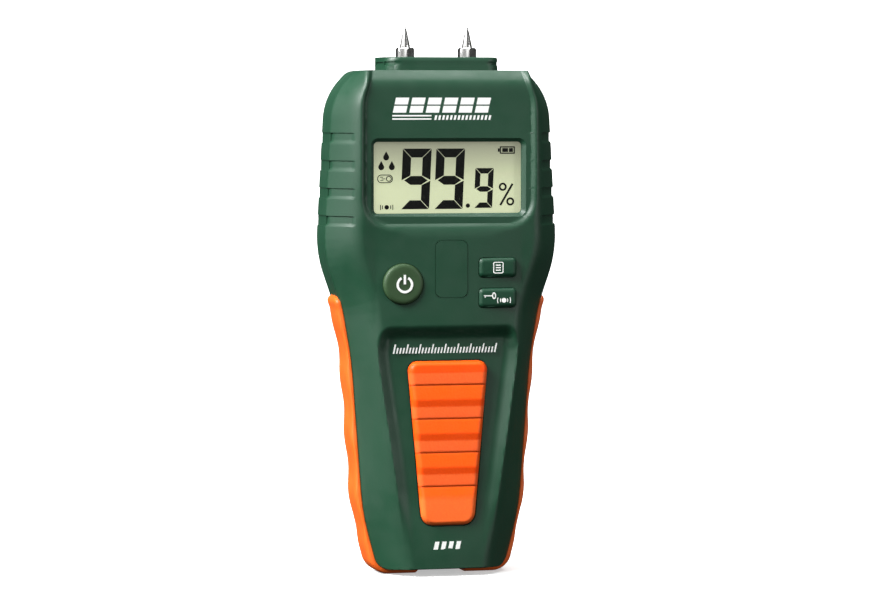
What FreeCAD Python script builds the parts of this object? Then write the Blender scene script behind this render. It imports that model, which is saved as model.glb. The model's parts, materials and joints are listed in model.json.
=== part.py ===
# Hand-held pin and pinless moisture meter, in millimetres.
# The meter stands upright on its two rubber feet. +Z points along the electrode pins, -Y out of the
# display face and +Y out of the sensor face. The origin is at the centre of the base.

import FreeCAD, Part
import Sketcher
import math
import os
import re

from FreeCAD import Placement, Rotation, Vector

# Front levels (NAME_front) are distances from the middle plane towards the display face, and rear
# levels (NAME_rear) are distances towards the sensor face.
DIMENSIONS = {
    # corner stations of the case outline, from the base to the top: half width, height, rounding
    "foot_x": 19.5, "foot_z": 1.1, "foot_round": 5.0,
    "shin_x": 24.1, "shin_z": 18.5, "shin_round": 70.0,
    "waist_x": 27.35, "waist_z": 63.5, "waist_round": 90.0,
    "flank_x": 30.1, "flank_z": 79.5, "flank_round": 36.0,
    "hip_x": 35.6, "hip_z": 95.5, "hip_round": 35.0,
    "shoulder_x": 33.1, "shoulder_z": 141.5, "shoulder_round": 18.0,
    "crown_x": 26.0, "crown_z": 149.4, "crown_round": 5.0,
    # the same stations on the crest, where the bevel meets the display face
    "foot_crest_x": 12.6, "foot_crest_z": 2.6, "foot_crest_round": 2.5,
    "shin_crest_x": 14.7, "shin_crest_z": 18.5, "shin_crest_round": 90.0,
    "waist_crest_x": 21.2, "waist_crest_z": 64.0, "waist_crest_round": 60.0,
    "flank_crest_x": 22.4, "flank_crest_z": 80.0, "flank_crest_round": 40.0,
    "hip_crest_x": 27.7, "hip_crest_z": 96.5, "hip_crest_round": 25.0,
    "shoulder_crest_x": 26.9, "shoulder_crest_z": 136.0, "shoulder_crest_round": 12.0,
    "crown_crest_x": 23.6, "crown_crest_z": 147.8, "crown_crest_round": 3.0,
    # case levels and walls
    "crest_front": 17.0, "bevel_front": 6.6, "parting_front": 5.6, "cavity_front": 12.0,
    "side_rear": 5.0, "back_rear": 15.0, "back_inset": 4.5, "wall": 2.0, "bevel_wall": 2.4,
    "crest_round": 2.0, "back_round": 1.2,
    # display recess, open at the top, and the window in its floor
    "recess_x": 26.2, "recess_z": 102.6, "recess_round": 8.0, "recess_front": 15.6,
    "window_x": 22.4, "window_z": 107.4, "window_high": 21.0, "window_round": 1.4, "window_chamfer": 0.9,
    "display_wall_front": 13.8, "display_bay_x": 25.6, "display_bay_z": 103.2, "display_bay_high": 31.0,
    # dish round the thumb pad
    "dish_top_x": 20.4, "dish_top_z": 73.6, "dish_waist_x": 18.2, "dish_waist_z": 53.0,
    "dish_foot_x": 12.4, "dish_foot_z": 10.0, "dish_round": 3.5, "dish_front": 14.4,
    # buttons
    "power_x": 14.0, "power_z": 86.8, "power_radius": 5.9,
    "key_x": 14.6, "mode_z": 91.35, "lock_z": 82.4, "key_wide": 11.6, "key_high": 5.8, "key_round": 1.3,
    "button_gap": 0.2, "button_flange": 0.8, "power_front": 17.6, "key_front": 17.4,
    "button_wall_front": 14.8, "flange_rear": 13.6, "stem_rear": 12.1, "stem_radius": 2.0,
    "button_bay_x": 22.4, "button_bay_z": 78.3, "button_bay_high": 18.5,
    "blank_x": 0.5, "blank_z": 82.6, "blank_wide": 9.9, "blank_high": 17.0, "blank_deep": 1.0,
    "blank_gap": 0.12,
    # finger grooves on the sides
    "groove_z": 103.6, "groove_high": 3.1, "groove_pitch": 8.13, "groove_deep": 0.5, "groove_in_x": 28.4,
    "groove_rear": 8.0,
    # electrode collar
    "collar_x": 17.2, "collar_y": 10.0, "collar_round": 4.2, "collar_low": 146.0, "collar_top": 153.3,
    "cap_groove_z": 151.1, "cap_groove_high": 0.8, "cap_groove_deep": 0.4, "cap_groove_half": 5.0,
    # electrodes
    "pin_x": 9.5, "hex_flats": 5.0, "hex_high": 2.9, "cone_radius": 1.5, "tip_radius": 0.12,
    "pin_top": 163.0, "stud_radius": 1.25, "stud_length": 7.5,
    "socket_radius": 3.1, "socket_low": 141.0, "socket_bore": 1.32, "socket_boss": 3.9,
    "contact_thick": 0.5, "contact_wide": 4.0, "contact_reach": 2.5, "contact_foot": 3.5,
    # circuit board and display stack
    "board_front": 7.0, "board_thick": 1.6, "board_x": 23.4, "board_low": 68.4, "board_high": 68.4,
    "board_round": 3.0,
    "lens_x": 24.2, "lens_thick": 1.2, "lens_margin": 2.0,
    "panel_front": 12.5, "panel_thick": 2.6, "panel_x": 24.0, "panel_high": 27.0, "panel_z": 104.4,
    "frame_wall": 1.1, "strip_thick": 1.8, "strip_x": 22.0,
    "buzzer_radius": 6.0, "buzzer_deep": 5.6, "capacitor_radius": 2.5, "capacitor_deep": 5.4,
    # switches under the buttons
    "switch_wide": 6.0, "switch_tall": 3.5, "plunger_radius": 1.7, "plunger_sunk": 0.8,
    "switch_well": 2.0, "switch_gap": 0.1,
    # screws
    "upper_screw_x": 25.2, "upper_screw_z": 139.5, "lower_screw_x": 20.0, "lower_screw_z": 75.0,
    "boss_radius": 2.6, "rear_boss_radius": 3.7, "pilot_radius": 1.1, "case_shank": 1.1,
    "low_boss_front": 5.1,
    "shank_hole": 1.4, "case_head": 2.4, "case_head_high": 1.8, "counterbore": 2.65, "head_seat_rear": 8.0,
    "screw_reach_front": 11.0, "slot_wide": 0.7, "slot_deep": 0.8,
    "upper_board_screw_x": 18.0, "upper_board_screw_z": 134.6, "lower_board_screw_x": 21.0,
    "lower_board_screw_z": 101.0, "board_boss": 1.9, "board_shank": 0.8, "board_hole": 1.1,
    "board_head": 1.7, "board_head_high": 1.1, "board_shank_long": 5.0,
    # battery bay, battery and door
    "bay_x": 14.0, "bay_low": 9.3, "bay_top": 65.0, "bay_front": 6.0, "bay_wall": 1.6,
    "battery_x": 13.25, "battery_low": 9.6, "battery_high": 46.2, "battery_deep": 17.5,
    "battery_front": 5.0, "foam_x": 11.0, "foam_low": 14.0, "foam_high": 36.0,
    "terminal_x": 6.35, "terminal_high": 2.3, "stud_terminal": 2.9, "socket_terminal": 3.9,
    "plug_x": 12.7, "plug_deep": 12.4, "plug_high": 4.6, "plug_lift": 0.3,
    "door_low_x": 14.6, "door_low_z": 8.4, "door_top_x": 17.0, "door_top_z": 68.0, "door_round": 2.0,
    "door_inner_rear": 13.0, "door_gap": 0.25, "hinge_rear": 13.6, "barrel_radius": 1.1,
    "trunnion_radius": 0.6, "trunnion_hole": 0.66, "trunnion_x": 15.5, "lip_z": 6.8, "hinge_room": 12.2,
    "tongue_x": 5.0, "tongue_thick": 1.2, "tongue_rear": 10.0, "thumb_deep": 0.7, "thumb_x": 6.5,
    "thumb_low": 60.5, "thumb_pitch": 1.8, "thumb_rib": 0.8,
    # pinless sensor
    "sensor_x": 19.5, "sensor_low": 92.0, "sensor_high": 44.0, "sensor_round": 5.0, "sensor_rear": 17.6,
    "sensor_seat": 0.6, "seat_gap": 0.08, "plate_thick": 0.4, "plate_margin": 2.5,
    # rubber grips and thumb pad
    "grip_thick": 1.4, "grip_top": 83.0, "grip_rear": 11.0, "notch_x": 7.1, "grip_gap": 0.06,
    "pad_top_x": 12.2, "pad_top_z": 63.9, "pad_foot_x": 8.0, "pad_foot_z": 15.2, "pad_round": 3.2,
    "pad_front": 15.9, "rib_front": 16.5, "rib_pitch": 10.05, "rib_high": 5.6, "rib_inset": 0.8,
    # wires
    "lead_radius": 0.6, "lead_x": 4.0, "lead_rear": 3.0, "lead_rise": 9.0, "sensor_lead_z": 108.0,
    "sensor_lead_drop": 6.0, "lead_slot_front": 6.5, "lead_slot_deep": 4.5,
}

STATIONS = ["foot", "shin", "waist", "flank", "hip", "shoulder", "crown"]
TOLERANCE = 0.01

doc = FreeCAD.newDocument("MoistureMeter")
sheet = doc.addObject("Spreadsheet::Sheet", "Sheet")
nodes = []


def fill_sheet():
    """Writes the driving dimensions into the spreadsheet, one aliased cell each."""
    for row, (alias, number) in enumerate(DIMENSIONS.items(), 1):
        sheet.set(f"A{row}", alias)
        sheet.set(f"B{row}", str(number))
        sheet.setAlias(f"B{row}", alias)
    doc.recompute()


def bound(expression):
    """An expression in sheet aliases, as another object has to write it."""
    return re.sub(
        r"[a-z_]+", lambda m: "Sheet." + m.group(0) if m.group(0) in DIMENSIONS else m.group(0), expression
    )


def value(expression):
    """The number that an expression in sheet aliases has now."""
    return float(sheet.evalExpression(expression))


def bind(thing, **properties):
    """Binds properties to expressions. A double underscore stands for a dot in the property's path."""
    for path, expression in properties.items():
        thing.setExpression(path.replace("__", "."), bound(expression))


def place(thing, x, y, z, rotation=None):
    """Puts a thing at a point whose coordinates stay bound to the sheet."""
    if rotation is not None:
        thing.Placement = Placement(Vector(), rotation)
    bind(thing, Placement__Base__x=x, Placement__Base__y=y, Placement__Base__z=z)


def node(label, thing):
    """Names a finished sub-part and lists it for export."""
    thing.Label = label
    nodes.append(thing)
    return thing


# ---- Part primitives and booleans ----


def box(x, y, z, length, width, height):
    """A box from its lowest corner and its sizes along X, Y and Z."""
    made = doc.addObject("Part::Box", "Box")
    bind(made, Length=length, Width=width, Height=height)
    place(made, x, y, z)
    return made


UPWARDS = Rotation()
REARWARDS = Rotation(Vector(1, 0, 0), -90)


def cylinder(x, y, z, radius, height, along=UPWARDS):
    """A cylinder from the centre of its first end, pointing up, to the rear or to the right."""
    made = doc.addObject("Part::Cylinder", "Cylinder")
    bind(made, Radius=radius, Height=height)
    place(made, x, y, z, along)
    return made


def fuse(*things):
    made = doc.addObject("Part::MultiFuse", "Fusion")
    made.Shapes = list(things)
    return made


def cut(base, *tools):
    made = doc.addObject("Part::Cut", "Cut")
    made.Base = base
    made.Tool = tools[0] if len(tools) == 1 else fuse(*tools)
    return made


def group(*things):
    """Separate solids that share one node."""
    made = doc.addObject("Part::Compound", "Group")
    made.Links = list(things)
    return made


# ---- sketches ----


def mirrored(corners):
    """A closed outline from its right half, listed from the base to the top."""
    return corners + [(f"-({x})", z, r) for x, z, r in reversed(corners)]


def rectangle(x, z, wide, high, rounding="0"):
    """A rectangle's corners from its middle in x and its lower edge."""
    low, high = z, f"{z} + {high}"
    left, right = f"{x} - ({wide}) / 2", f"{x} + ({wide}) / 2"
    return [(right, low, rounding), (right, high, rounding), (left, high, rounding), (left, low, rounding)]


def corner_points(corners):
    """Per corner: the point, the tangent points before and after it, the rounding's centre, and its turn."""
    points = [Vector(value(x), value(z), 0) for x, z, r in corners]
    found = []
    for i, (x, z, r) in enumerate(corners):
        radius = value(r)
        here, before, after = points[i], points[i - 1], points[(i + 1) % len(points)]
        back, ahead = (before - here).normalize(), (after - here).normalize()
        if radius == 0:
            found.append((here, here, here, None, 0))
            continue
        half = back.getAngle(ahead) / 2
        reach = radius / math.tan(half)
        centre = here + (back + ahead).normalize() * (radius / math.sin(half))
        turn = back.negative().cross(ahead).z
        found.append((here, here + back * reach, here + ahead * reach, centre, turn))
    return found


def dimension(kind, geometry, point, expression):
    """A radius, or a distance from the sketch's origin to a point, with the expression that drives it."""
    number = value(expression)
    if kind == "Radius":
        return Sketcher.Constraint("Radius", geometry, number), expression
    return Sketcher.Constraint(kind, -1, 1, geometry, point, number), expression


def tie(kind, *ends):
    """A constraint that no expression drives."""
    return Sketcher.Constraint(kind, *ends), None


def add_constraints(sketch, ties):
    """Adds all the constraints at once, and then binds the driven ones to the sheet."""
    first = sketch.ConstraintCount
    sketch.addConstraint([constraint for constraint, expression in ties])
    for index, (constraint, expression) in enumerate(ties, first):
        if expression is not None:
            sketch.setExpression(f"Constraints[{index}]", bound(expression))


def add_loop(sketch, corners):
    """Adds a closed loop of straight lines with tangent arcs at the corners that have a rounding."""
    found = corner_points(corners)
    count = len(found)
    lines = []
    for i in range(count):
        start, end = found[i][2], found[(i + 1) % count][1]
        lines.append(sketch.addGeometry(Part.LineSegment(start, end), False))
    ties = []
    for i, (x, z, r) in enumerate(corners):
        here, start, end, centre, turn = found[i]
        before, after = lines[i - 1], lines[i]
        if centre is None:
            ties.append(tie("Coincident", before, 2, after, 1))
            ties.append(dimension("DistanceX", after, 1, x))
            ties.append(dimension("DistanceY", after, 1, z))
            continue
        first, last = (start, end) if turn > 0 else (end, start)
        angles = [math.atan2(p.y - centre.y, p.x - centre.x) for p in (first, last)]
        circle = Part.Circle(centre, Vector(0, 0, 1), value(r))
        arc = sketch.addGeometry(Part.ArcOfCircle(circle, *angles), False)
        corner = sketch.addGeometry(Part.Point(here), True)
        enter, leave = (1, 2) if turn > 0 else (2, 1)
        ties.append(tie("Tangent", before, 2, arc, enter))
        ties.append(tie("Tangent", arc, leave, after, 1))
        ties.append(tie("PointOnObject", corner, 1, before))
        ties.append(tie("PointOnObject", corner, 1, after))
        ties.append(dimension("Radius", arc, None, r))
        ties.append(dimension("DistanceX", corner, 1, x))
        ties.append(dimension("DistanceY", corner, 1, z))
    add_constraints(sketch, ties)


def new_sketch(body, role, offset):
    """An empty sketch on one of the body's origin planes, moved along the plane's normal."""
    sketch = body.newObject("Sketcher::SketchObject", "Sketch")
    plane = next(f for f in body.Origin.OriginFeatures if f.Role == role)
    sketch.AttachmentSupport = [(plane, "")]
    sketch.MapMode = "FlatFace"
    sketch.setExpression(".AttachmentOffset.Base.z", bound(offset))
    return sketch


def outline(body, offset, *loops, role="XZ_Plane"):
    """A sketch of closed loops. On XZ_Plane the offset is a distance towards the display face."""
    sketch = new_sketch(body, role, offset)
    for corners in loops:
        add_loop(sketch, corners)
    doc.recompute()
    return sketch


def circles(body, offset, radius, centres, role="XZ_Plane"):
    """A sketch of equal circles."""
    sketch = new_sketch(body, role, offset)
    ties = []
    for x, z in centres:
        circle = Part.Circle(Vector(value(x), value(z), 0), Vector(0, 0, 1), value(radius))
        index = sketch.addGeometry(circle, False)
        ties.append(dimension("Radius", index, None, radius))
        ties.append(dimension("DistanceX", index, 3, x))
        ties.append(dimension("DistanceY", index, 3, z))
    add_constraints(sketch, ties)
    doc.recompute()
    return sketch


# ---- PartDesign features ----


def new_body(label):
    return node(label, doc.addObject("PartDesign::Body", "Body"))


def volume(body):
    return body.Shape.Volume if body.Shape and not body.Shape.isNull() else 0.0


def checked(body, feature, sign):
    """Recomputes, and stops if the feature added or removed no material."""
    before = volume(body)
    body.Tip = feature
    doc.recompute()
    if sign * (volume(body) - before) <= 0:
        raise RuntimeError(f"{feature.Label} changed nothing in {body.Label}: {feature.State}")
    return feature


def pad(body, sketch, length, rearwards=False):
    """Adds material along the sketch's normal, or against it."""
    feature = body.newObject("PartDesign::Pad", "Pad")
    feature.Profile = sketch
    feature.Reversed = rearwards
    bind(feature, Length=length)
    return checked(body, feature, 1)


def pocket(body, sketch, length, frontwards=False):
    """Removes material against the sketch's normal, or along it."""
    feature = body.newObject("PartDesign::Pocket", "Pocket")
    feature.Profile = sketch
    feature.Reversed = frontwards
    bind(feature, Length=length)
    return checked(body, feature, -1)


def loft(body, first, second, kind="Additive"):
    """A ruled loft between two sketches with as many edges as each other."""
    feature = body.newObject(f"PartDesign::{kind}Loft", f"{kind}Loft")
    feature.Profile = first
    feature.Sections = [second]
    feature.Ruled = True
    return checked(body, feature, 1 if kind == "Additive" else -1)


def edges_where(shape, test):
    """The names of the edges whose every end passes a test."""
    return [
        f"Edge{i}" for i, edge in enumerate(shape.Edges, 1) if all(test(v.Point) for v in edge.Vertexes)
    ]


def dress(body, kind, size, test):
    """A fillet or chamfer on the edges that pass a test."""
    base = body.Tip
    feature = body.newObject(f"PartDesign::{kind}", kind)
    feature.Base = (base, edges_where(base.Shape, test))
    bind(feature, **{"Radius" if kind == "Fillet" else "Size": size})
    return checked(body, feature, -1)


# ---- the case ----


def case_outline(inset="0"):
    """The case's outline, or one that lies inside it by an inset."""
    corners = [(f"{s}_x - {inset}", f"{s}_z", f"{s}_round") for s in STATIONS]
    corners[0] = (f"foot_x - {inset}", f"foot_z + {inset}", f"foot_round - 0.5 * {inset}")
    corners[-2] = (
        f"shoulder_x - {inset}", f"shoulder_z - 0.38 * {inset}", f"shoulder_round - {inset}"
    )
    corners[-1] = (f"crown_x - 0.45 * {inset}", f"crown_z - {inset}", f"crown_round - 0.8 * {inset}")
    return mirrored(corners)


def crest_outline():
    return mirrored([(f"{s}_crest_x", f"{s}_crest_z", f"{s}_crest_round") for s in STATIONS])


def cavity_end_outline():
    """Where the front cavity ends, part of the way from the outline to the crest and inside the bevel."""
    share = "((cavity_front - bevel_front) / (crest_front - bevel_front))"
    between = "{s}_{a} + ({s}_crest_{a} - {s}_{a}) * {share}"
    corners = []
    for s in STATIONS:
        x, z = (between.format(s=s, a=a, share=share) for a in ("x", "z"))
        corners.append((f"{x} - bevel_wall", z, f"{s}_round / 2"))
    corners[0] = (corners[0][0], f"foot_z + bevel_wall + {share}", "foot_round / 2")
    top = f"crown_z - bevel_wall - (crown_z - crown_crest_z) * {share}"
    corners[-1] = ("crown_x - bevel_wall", top, "2")
    return mirrored(corners)


def side_x(z):
    """The outline's half width between the hip and the shoulder."""
    return f"(hip_x + (shoulder_x - hip_x) * ({z} - hip_z) / (shoulder_z - hip_z))"


def groove_levels():
    return [f"groove_z + {i} * groove_pitch" for i in range(4)]


def collar_half(front):
    """The collar's part in front of the parting plane, or the one behind it, seen from above."""
    near = "-parting_front"
    far, turn = ("-collar_y", -1) if front else ("collar_y", 1)
    corners = [("collar_x", near, "0"), ("collar_x", far, "collar_round")]
    corners += [("-collar_x", far, "collar_round"), ("-collar_x", near, "0")]
    return corners if turn > 0 else corners[::-1]


def add_collar(body, front):
    """The electrode collar's half."""
    pad(body, outline(body, "collar_low", collar_half(front), role="XY_Plane"), "collar_top - collar_low")


def cut_cap_grooves(body):
    """A groove across the flat of each end of the collar, which a protective cap grips."""
    inner, outer = "collar_x - cap_groove_deep", "collar_x + 2"
    right = [(inner, "-cap_groove_half", "0"), (outer, "-cap_groove_half", "0")]
    right += [(outer, "cap_groove_half", "0"), (inner, "cap_groove_half", "0")]
    left = [(f"-({x})", y, r) for x, y, r in reversed(right)]
    pocket(body, outline(body, "cap_groove_z", right, left, role="XY_Plane"), "cap_groove_high", True)


def cut_grooves(body, front):
    """The finger grooves across both side bevels, or their continuation on the rear case's sides."""
    for level in groove_levels():
        side = side_x(level)
        floor = f"{side} - groove_deep"
        if front:
            loop = [
                ("groove_in_x", "-crest_front - 1", "0"),
                (f"{side} + 2", "-crest_front - 1", "0"),
                (f"{side} + 2", "-parting_front", "0"),
                (floor, "-parting_front", "0"),
                (floor, "-bevel_front + groove_deep / 2", "0"),
                ("groove_in_x", f"-bevel_front - ({side} - groove_in_x) * 1.45 + groove_deep * 1.2", "0"),
            ]
        else:
            loop = [
                (floor, "-parting_front", "0"),
                (f"{side} + 2", "-parting_front", "0"),
                (f"{side} + 2", "groove_rear", "0"),
                (floor, "groove_rear", "0"),
            ]
        left = [(f"-({x})", y, r) for x, y, r in reversed(loop)]
        sketch = outline(body, level, loop, left, role="XY_Plane")
        pocket(body, sketch, "groove_high", frontwards=True)


def pair(x, z):
    return [(x, z), (f"-{x}", z)]


CASE_SCREWS = pair("upper_screw_x", "upper_screw_z") + pair("lower_screw_x", "lower_screw_z")
BOARD_SCREWS = (
    pair("upper_board_screw_x", "upper_board_screw_z") + pair("lower_board_screw_x", "lower_board_screw_z")
)
KEYS = {"mode": "mode_z", "lock": "lock_z"}


def key_outline(z, margin="0"):
    wide, high = f"(key_wide + 2 * {margin})", f"(key_high + 2 * {margin})"
    return rectangle("key_x", f"{z} - {high} / 2", wide, high, f"key_round + {margin}")


def front_case():
    """The front shell: bevelled sides, display recess and window, button holes, dish and bosses."""
    body = new_body("front_case")
    pad(body, outline(body, "parting_front", case_outline()), "bevel_front - parting_front")
    loft(body, outline(body, "bevel_front", case_outline()), outline(body, "crest_front", crest_outline()))
    crest = -value("crest_front")
    dress(body, "Fillet", "crest_round", lambda p: abs(p.y - crest) < TOLERANCE)
    add_collar(body, front=True)
    pocket(body, outline(body, "parting_front", case_outline("wall")), "bevel_front - parting_front", True)
    loft(
        body,
        outline(body, "bevel_front", case_outline("wall")),
        outline(body, "cavity_front", cavity_end_outline()),
        "Subtractive",
    )
    display_bay = rectangle("0", "display_bay_z", "2 * display_bay_x", "display_bay_high")
    pocket(body, outline(body, "cavity_front", display_bay), "display_wall_front - cavity_front", True)
    button_bay = rectangle("0", "button_bay_z", "2 * button_bay_x", "button_bay_high")
    pocket(body, outline(body, "cavity_front", button_bay), "button_wall_front - cavity_front", True)
    recess = [("recess_x", "recess_z", "recess_round"), ("recess_x", "crown_z + 1", "0")]
    pocket(body, outline(body, "crest_front", mirrored(recess)), "crest_front - recess_front")
    dish = [
        ("dish_foot_x", "dish_foot_z", "dish_round"),
        ("dish_waist_x", "dish_waist_z", "shin_round / 2"),
        ("dish_top_x", "dish_top_z", "dish_round"),
    ]
    pocket(body, outline(body, "crest_front", mirrored(dish)), "crest_front - dish_front")
    window = rectangle("0", "window_z", "2 * window_x", "window_high", "window_round")
    pocket(body, outline(body, "recess_front", window), "recess_front - display_wall_front")
    rim = -value("recess_front")
    reach = value("window_x") + TOLERANCE
    low, high = value("window_z") - TOLERANCE, value("window_z + window_high") + TOLERANCE
    dress(
        body, "Chamfer", "window_chamfer",
        lambda p: abs(p.y - rim) < TOLERANCE and abs(p.x) < reach and low < p.z < high,
    )
    holes = circles(body, "crest_front", "power_radius + button_gap", [("-power_x", "power_z")])
    pocket(body, holes, "crest_front - button_wall_front")
    keys = [key_outline(z, "button_gap") for z in KEYS.values()]
    pocket(body, outline(body, "crest_front", *keys), "crest_front - button_wall_front")
    blank = rectangle("blank_x", "blank_z", "blank_wide", "blank_high", "2")
    pocket(body, outline(body, "crest_front", blank), "blank_deep")
    cut_grooves(body, front=True)
    pad(
        body, circles(body, "parting_front", "boss_radius", CASE_SCREWS),
        "cavity_front - parting_front + 0.5",
    )
    pocket(
        body, circles(body, "parting_front", "pilot_radius", CASE_SCREWS),
        "screw_reach_front + 0.5 - parting_front", True,
    )
    pad(body, circles(body, "board_front", "board_boss", BOARD_SCREWS), "recess_front - board_front - 1")
    pocket(
        body, circles(body, "board_front", "board_shank", BOARD_SCREWS), "board_shank_long - board_thick + 1",
        True,
    )


def door_outline(margin="0"):
    low = f"door_low_z - {margin}"
    return mirrored([
        (f"door_low_x + {margin}", low, "0"),
        (f"door_top_x + {margin}", f"door_top_z + {margin}", "door_round"),
    ])


def rear_case():
    """The rear shell: sides, back, sensor seat, battery bay, hinge holes, electrode bores and bosses."""
    body = new_body("rear_case")
    back = case_outline("back_inset")
    pad(body, outline(body, "parting_front", case_outline()), "parting_front + side_rear", True)
    loft(body, outline(body, "-side_rear", case_outline()), outline(body, "-back_rear", back))
    rear = value("back_rear")
    dress(body, "Fillet", "back_round", lambda p: abs(p.y - rear) < TOLERANCE)
    add_collar(body, front=False)
    cut_cap_grooves(body)
    pocket(body, outline(body, "parting_front", case_outline("wall")), "parting_front + side_rear")
    loft(
        body,
        outline(body, "-side_rear", case_outline("wall")),
        outline(body, "-door_inner_rear", case_outline("(back_inset + wall / 2)")),
        "Subtractive",
    )
    bay_outer = rectangle(
        "0", "bay_low - bay_wall", "2 * (bay_x + bay_wall)", "bay_top - bay_low + 2 * bay_wall"
    )
    bay_block = outline(body, "bay_front + bay_wall", bay_outer)
    pad(body, bay_block, "bay_front + bay_wall + door_inner_rear", True)
    bay = rectangle("0", "bay_low", "2 * bay_x", "bay_top - bay_low")
    pocket(body, outline(body, "bay_front", bay), "bay_front + door_inner_rear")
    pocket(
        body, outline(body, "-back_rear", door_outline("door_gap")), "back_rear - door_inner_rear", True
    )
    hinge_room = rectangle("0", "lip_z", "2 * (door_low_x + door_gap)", "door_low_z + 1.4 - lip_z")
    pocket(body, outline(body, "-back_rear", hinge_room), "back_rear - hinge_room", True)
    trunnion_ends = circles(
        body, "-(trunnion_x + door_gap / 2)", "trunnion_hole", [("hinge_rear", "door_low_z")], role="YZ_Plane"
    )
    pocket(body, trunnion_ends, "2 * trunnion_x + door_gap", True)
    seat = rectangle(
        "0", "sensor_low - seat_gap", "2 * (sensor_x + seat_gap)", "sensor_high + 2 * seat_gap",
        "sensor_round + seat_gap",
    )
    pocket(body, outline(body, "-back_rear", seat), "sensor_seat", True)
    cut_grooves(body, front=False)
    # the lower bosses stop behind the board
    for start, screws_here in (("parting_front", CASE_SCREWS[:2]), ("low_boss_front", CASE_SCREWS[2:])):
        bosses = circles(body, start, "rear_boss_radius", screws_here)
        pad(body, bosses, f"{start} + door_inner_rear + wall / 2", True)
    pocket(body, circles(body, "parting_front", "shank_hole", CASE_SCREWS), "parting_front + back_rear")
    pocket(body, circles(body, "-back_rear", "counterbore", CASE_SCREWS), "back_rear - head_seat_rear", True)
    sockets = pair("pin_x", "0")
    bosses = circles(body, "socket_low + 1", "socket_boss", sockets, role="XY_Plane")
    pad(body, bosses, "crown_z - socket_low - 2")
    bores = circles(body, "socket_low", "socket_radius", sockets, role="XY_Plane")
    pocket(body, bores, "collar_top - socket_low", True)
    slot = rectangle("0", "bay_top - 1", "4 * lead_x", "bay_wall + 2")
    pocket(body, outline(body, "bay_front - lead_slot_front", slot), "lead_slot_deep")


# ---- grips ----


def grip_outline(side, inset):
    """A grip's outline: out round the lower corner and up the side, and back down along the case."""
    tip = "flank_x + (hip_x - flank_x) * (grip_top - flank_z) / (hip_z - flank_z)"
    out, near = f"+ grip_thick - {inset}", f"+ grip_gap - {inset}"
    names = STATIONS[1:4]
    corners = [
        ("notch_x", inset, "0"),
        (f"foot_x {out}", inset, f"foot_round + grip_thick - 0.5 * {inset}"),
        *[(f"{name}_x {out}", f"{name}_z", f"{name}_round") for name in names],
        (f"{tip} {out} - 0.3", "grip_top", "0"),
        (f"{tip} {near}", "grip_top", "0"),
        *[(f"{name}_x {near}", f"{name}_z", f"{name}_round") for name in reversed(names)],
        (f"foot_x {near}", f"foot_z - grip_gap + {inset}", f"foot_round - 0.5 * {inset}"),
        ("notch_x", f"foot_z - grip_gap + {inset}", "0"),
    ]
    if side > 0:
        return corners
    return [(f"-({x})", z, r) for x, z, r in reversed(corners)]


def side_grip(label, side):
    """A rubber grip moulded round one side of the rear case and its lower corner, with a foot."""
    body = new_body(label)
    inset = "(back_inset * (grip_rear - side_rear) / (back_rear - side_rear))"
    pad(body, outline(body, "parting_front", grip_outline(side, "0")), "parting_front + side_rear", True)
    loft(
        body,
        outline(body, "-side_rear", grip_outline(side, "0")),
        outline(body, "-grip_rear", grip_outline(side, inset)),
    )


def front_grip_pad():
    """The ribbed rubber thumb pad that lies in the dish."""
    body = new_body("front_grip_pad")
    taper = "(pad_top_x - pad_foot_x) / (pad_top_z - pad_foot_z)"
    corners = [("pad_foot_x", "pad_foot_z", "pad_round"), ("pad_top_x", "pad_top_z", "pad_round")]
    pad(body, outline(body, "dish_front", mirrored(corners)), "pad_front - dish_front")
    for i in range(4):
        low = f"(pad_top_z - rib_high - 1.5 - {i} * rib_pitch)"
        x_low = f"pad_foot_x - rib_inset + ({low} - pad_foot_z) * {taper}"
        x_high = f"pad_foot_x - rib_inset + ({low} + rib_high - pad_foot_z) * {taper}"
        rib = mirrored([(x_low, low, "1"), (x_high, f"{low} + rib_high", "1")])
        pad(body, outline(body, "pad_front", rib), "rib_front - pad_front")


# ---- display ----


def display_parts():
    """The window, the glass panel, the frame that holds it and the two contact strips behind it."""
    body = new_body("display_window")
    lens = rectangle("0", "window_z - lens_margin", "2 * lens_x", "window_high + 2 * lens_margin", "1.5")
    pad(body, outline(body, "display_wall_front - lens_thick", lens), "lens_thick")

    panel = box("-panel_x", "-panel_front", "panel_z", "2 * panel_x", "panel_thick", "panel_high")
    node("lcd_panel", panel)

    body = new_body("lcd_frame")
    outer = rectangle(
        "0", "panel_z - frame_wall", "2 * (panel_x + frame_wall)", "panel_high + 2 * frame_wall", "1"
    )
    inner = rectangle("0", "panel_z", "2 * panel_x", "panel_high")
    pad(body, outline(body, "board_front", outer), "panel_front - board_front")
    pocket(body, outline(body, "panel_front", inner), "panel_front - board_front")

    thick = "panel_front - panel_thick - board_front"
    strips = [
        box("-strip_x", "-board_front - (" + thick + ")", z, "2 * strip_x", thick, "strip_thick")
        for z in ("panel_z + 0.4", "panel_z + panel_high - strip_thick - 0.4")
    ]
    node("contact_strips", group(*strips))


# ---- circuit board ----


def main_board():
    """The circuit board, with holes for the lower case bosses and for its own screws."""
    body = new_body("main_board")
    board = rectangle("0", "board_low", "2 * board_x", "board_high", "board_round")
    pad(body, outline(body, "board_front - board_thick", board), "board_thick")
    clearance = circles(body, "board_front", "boss_radius + 0.4", CASE_SCREWS[2:])
    pocket(body, clearance, "board_thick")
    pocket(body, circles(body, "board_front", "board_hole", BOARD_SCREWS), "board_thick")


BOARD_REAR = "(board_thick - board_front)"


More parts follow.
